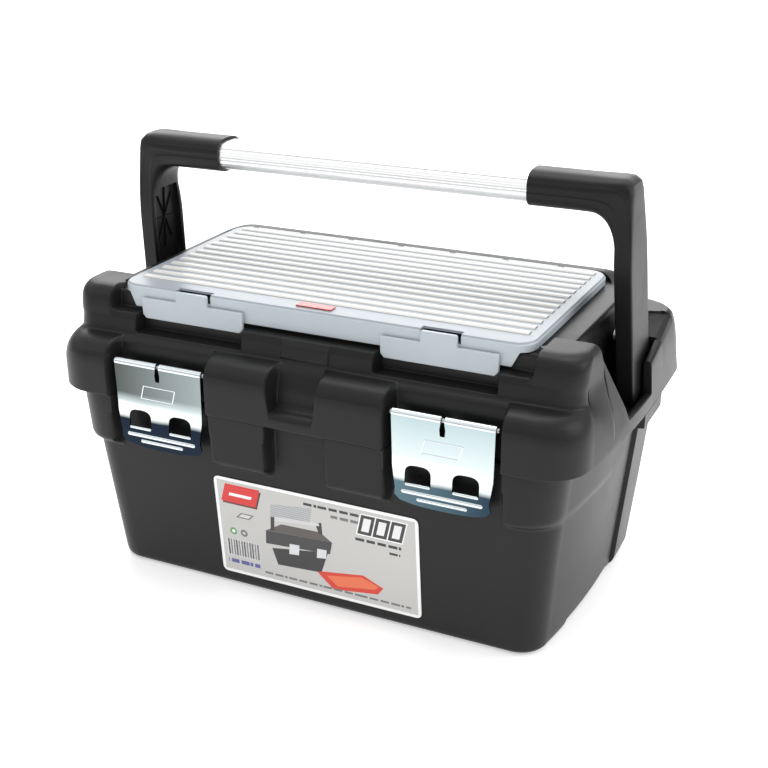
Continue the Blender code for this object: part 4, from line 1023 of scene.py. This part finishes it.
# Floor, camera and light.
def makeFloor():
    half = 14.0
    piece = bpy.data.meshes.new("floor")
    corners = [(-half, -half, 0), (half, -half, 0), (half, half, 0), (-half, half, 0)]
    piece.from_pydata(corners, [], [(0, 1, 2, 3)])
    floor = placed("floor", piece)
    pale = Paint("pale floor", Roughness=0.6, Emission_Color=(1.0, 1.0, 1.0), Emission_Strength=0.42)
    pale.set(Base_Color=pale.mix(pale.noise(3, 2), (0.90, 0.90, 0.90), (0.93, 0.93, 0.93)))
    piece.materials.append(pale.material)


cameraView = {"place": (0.443875, -0.893058, 0.554017), "turn": 26.10, "tilt": 22.40, "roll": -0.56,
              "lens": 61.785}


def makeCamera():
    data = bpy.data.cameras.new("camera")
    data.lens = cameraView["lens"]
    data.sensor_width = 36.0
    camera = placed("camera", data)
    turn = Matrix.Rotation(math.radians(cameraView["turn"]), 4, "Z")
    tilt = Matrix.Rotation(math.radians(90 - cameraView["tilt"]), 4, "X")
    roll = Matrix.Rotation(math.radians(cameraView["roll"]), 4, "Z")
    camera.matrix_world = Matrix.Translation(cameraView["place"]) @ turn @ tilt @ roll
    bpy.context.scene.camera = camera


# The sky's strength climbs in a straight line from low to high between the two heights of the view
# direction. Each lamp has a place, a point that it looks at, its two sides, and its power in watts.
sky = {"from": -0.1, "to": 0.5, "low": 0.08, "high": 1.0}
lamps = {"right": ((1.9, 0.3, 1.2), (0, 0, 0.15), (1.2, 1.4), 12),
         "top": ((-0.1, 0.5, 2.1), (0, 0, 0.2), (1.8, 1.2), 17),
         "left front": ((-1.7, -1.2, 1.1), (0, 0, 0.2), (0.8, 1.2), 2),
         "back": ((-0.9, 2.0, 1.05), (0, 0, 0.25), (2.4, 1.0), 20)}


def areaLight(name, place, target, size, power):
    data = bpy.data.lights.new(name, "AREA")
    data.shape = "RECTANGLE"
    data.size, data.size_y = size
    data.energy = power
    lamp = placed(name, data)
    lamp.location = place
    lamp.rotation_euler = (Vector(target) - Vector(place)).to_track_quat("-Z", "Y").to_euler()


def makeStudio():
    world = bpy.data.worlds.new("studio")
    bpy.context.scene.world = world
    world.use_nodes = True
    tree = world.node_tree
    back = tree.nodes["Background"]
    back.inputs["Color"].default_value = (1.0, 1.0, 1.0, 1.0)
    where = tree.nodes.new("ShaderNodeTexCoord")
    split = tree.nodes.new("ShaderNodeSeparateXYZ")
    ramp = tree.nodes.new("ShaderNodeMapRange")
    tree.links.new(where.outputs["Generated"], split.inputs[0])
    tree.links.new(split.outputs["Z"], ramp.inputs["Value"])
    ramp.inputs["From Min"].default_value = sky["from"]
    ramp.inputs["From Max"].default_value = sky["to"]
    ramp.inputs["To Min"].default_value = sky["low"]
    ramp.inputs["To Max"].default_value = sky["high"]
    tree.links.new(ramp.outputs["Result"], back.inputs["Strength"])
    for name, values in lamps.items():
        areaLight(name, *values)
    bpy.context.scene.view_settings.view_transform = "Standard"


makeCamera()
makeStudio()
makeFloor()
print("camera, light and floor made")
black = mouldedPlastic("black plastic", (0.0095, 0.0099, 0.0093), 0.37)
gripBlack = mouldedPlastic("grip plastic", (0.0075, 0.0075, 0.0080), 0.40, 0.35)
orange = mouldedPlastic("tray plastic", (0.72, 0.10, 0.025), 0.40)
# the latch plates' zinc carries painted reflections in zones; the bright zinc is plain plating
zinc = zincSheet("zinc sheet with painted reflections", True)
zincBright = zincSheet("bright zinc", False)
steel = plainSteel("plain steel")
alloy = satinAluminium("satin aluminium")
ribs = {"first": -84.0, "pitch": 12.2, "width": 7.0, "half": 160.0, "top": 239.5}
clearRibbed = milkyPlastic("milky cover", ribs)
clear = milkyPlastic("milky plastic")
binClear = milkyPlastic("milky dividers", alpha=0.7)
makeLid(black)
makeTub(black)
makeHinges(black)
print("shells made")
roundedCopy("organiser_cover", "coverShell", 0.8, "cover", clearRibbed)
for side, word in ((-1, "left"), (1, "right")):
    roundedCopy("cover_clip_" + word, "clip_" + word, 0.8, "clip_" + word, clear)
    makeLatch(word, side, zinc, zincBright)
    makeArm(word, side, gripBlack)
    makeCatch(word, side, clear)
roundedCopy("tool_tray", "trayShell", 0.5, "tray", orange, 2, merge=False)
makeTube(alloy)
makeLabel(labelPrint("label print"))
print("small pieces made")
for name, node in nodes.items():  # the nodes that no piece replaces
    if name.startswith("divider"):
        repaint(node.data, binClear)
    elif "pin" in name or "rod" in name:
        repaint(node.data, steel)
        node.data.shade_smooth()
        node.data.set_sharp_from_angle(angle=math.radians(40))
repaint(nodes["cover_badge"].data, glossRed("badge red"))
print("dividers, pins and badge painted")
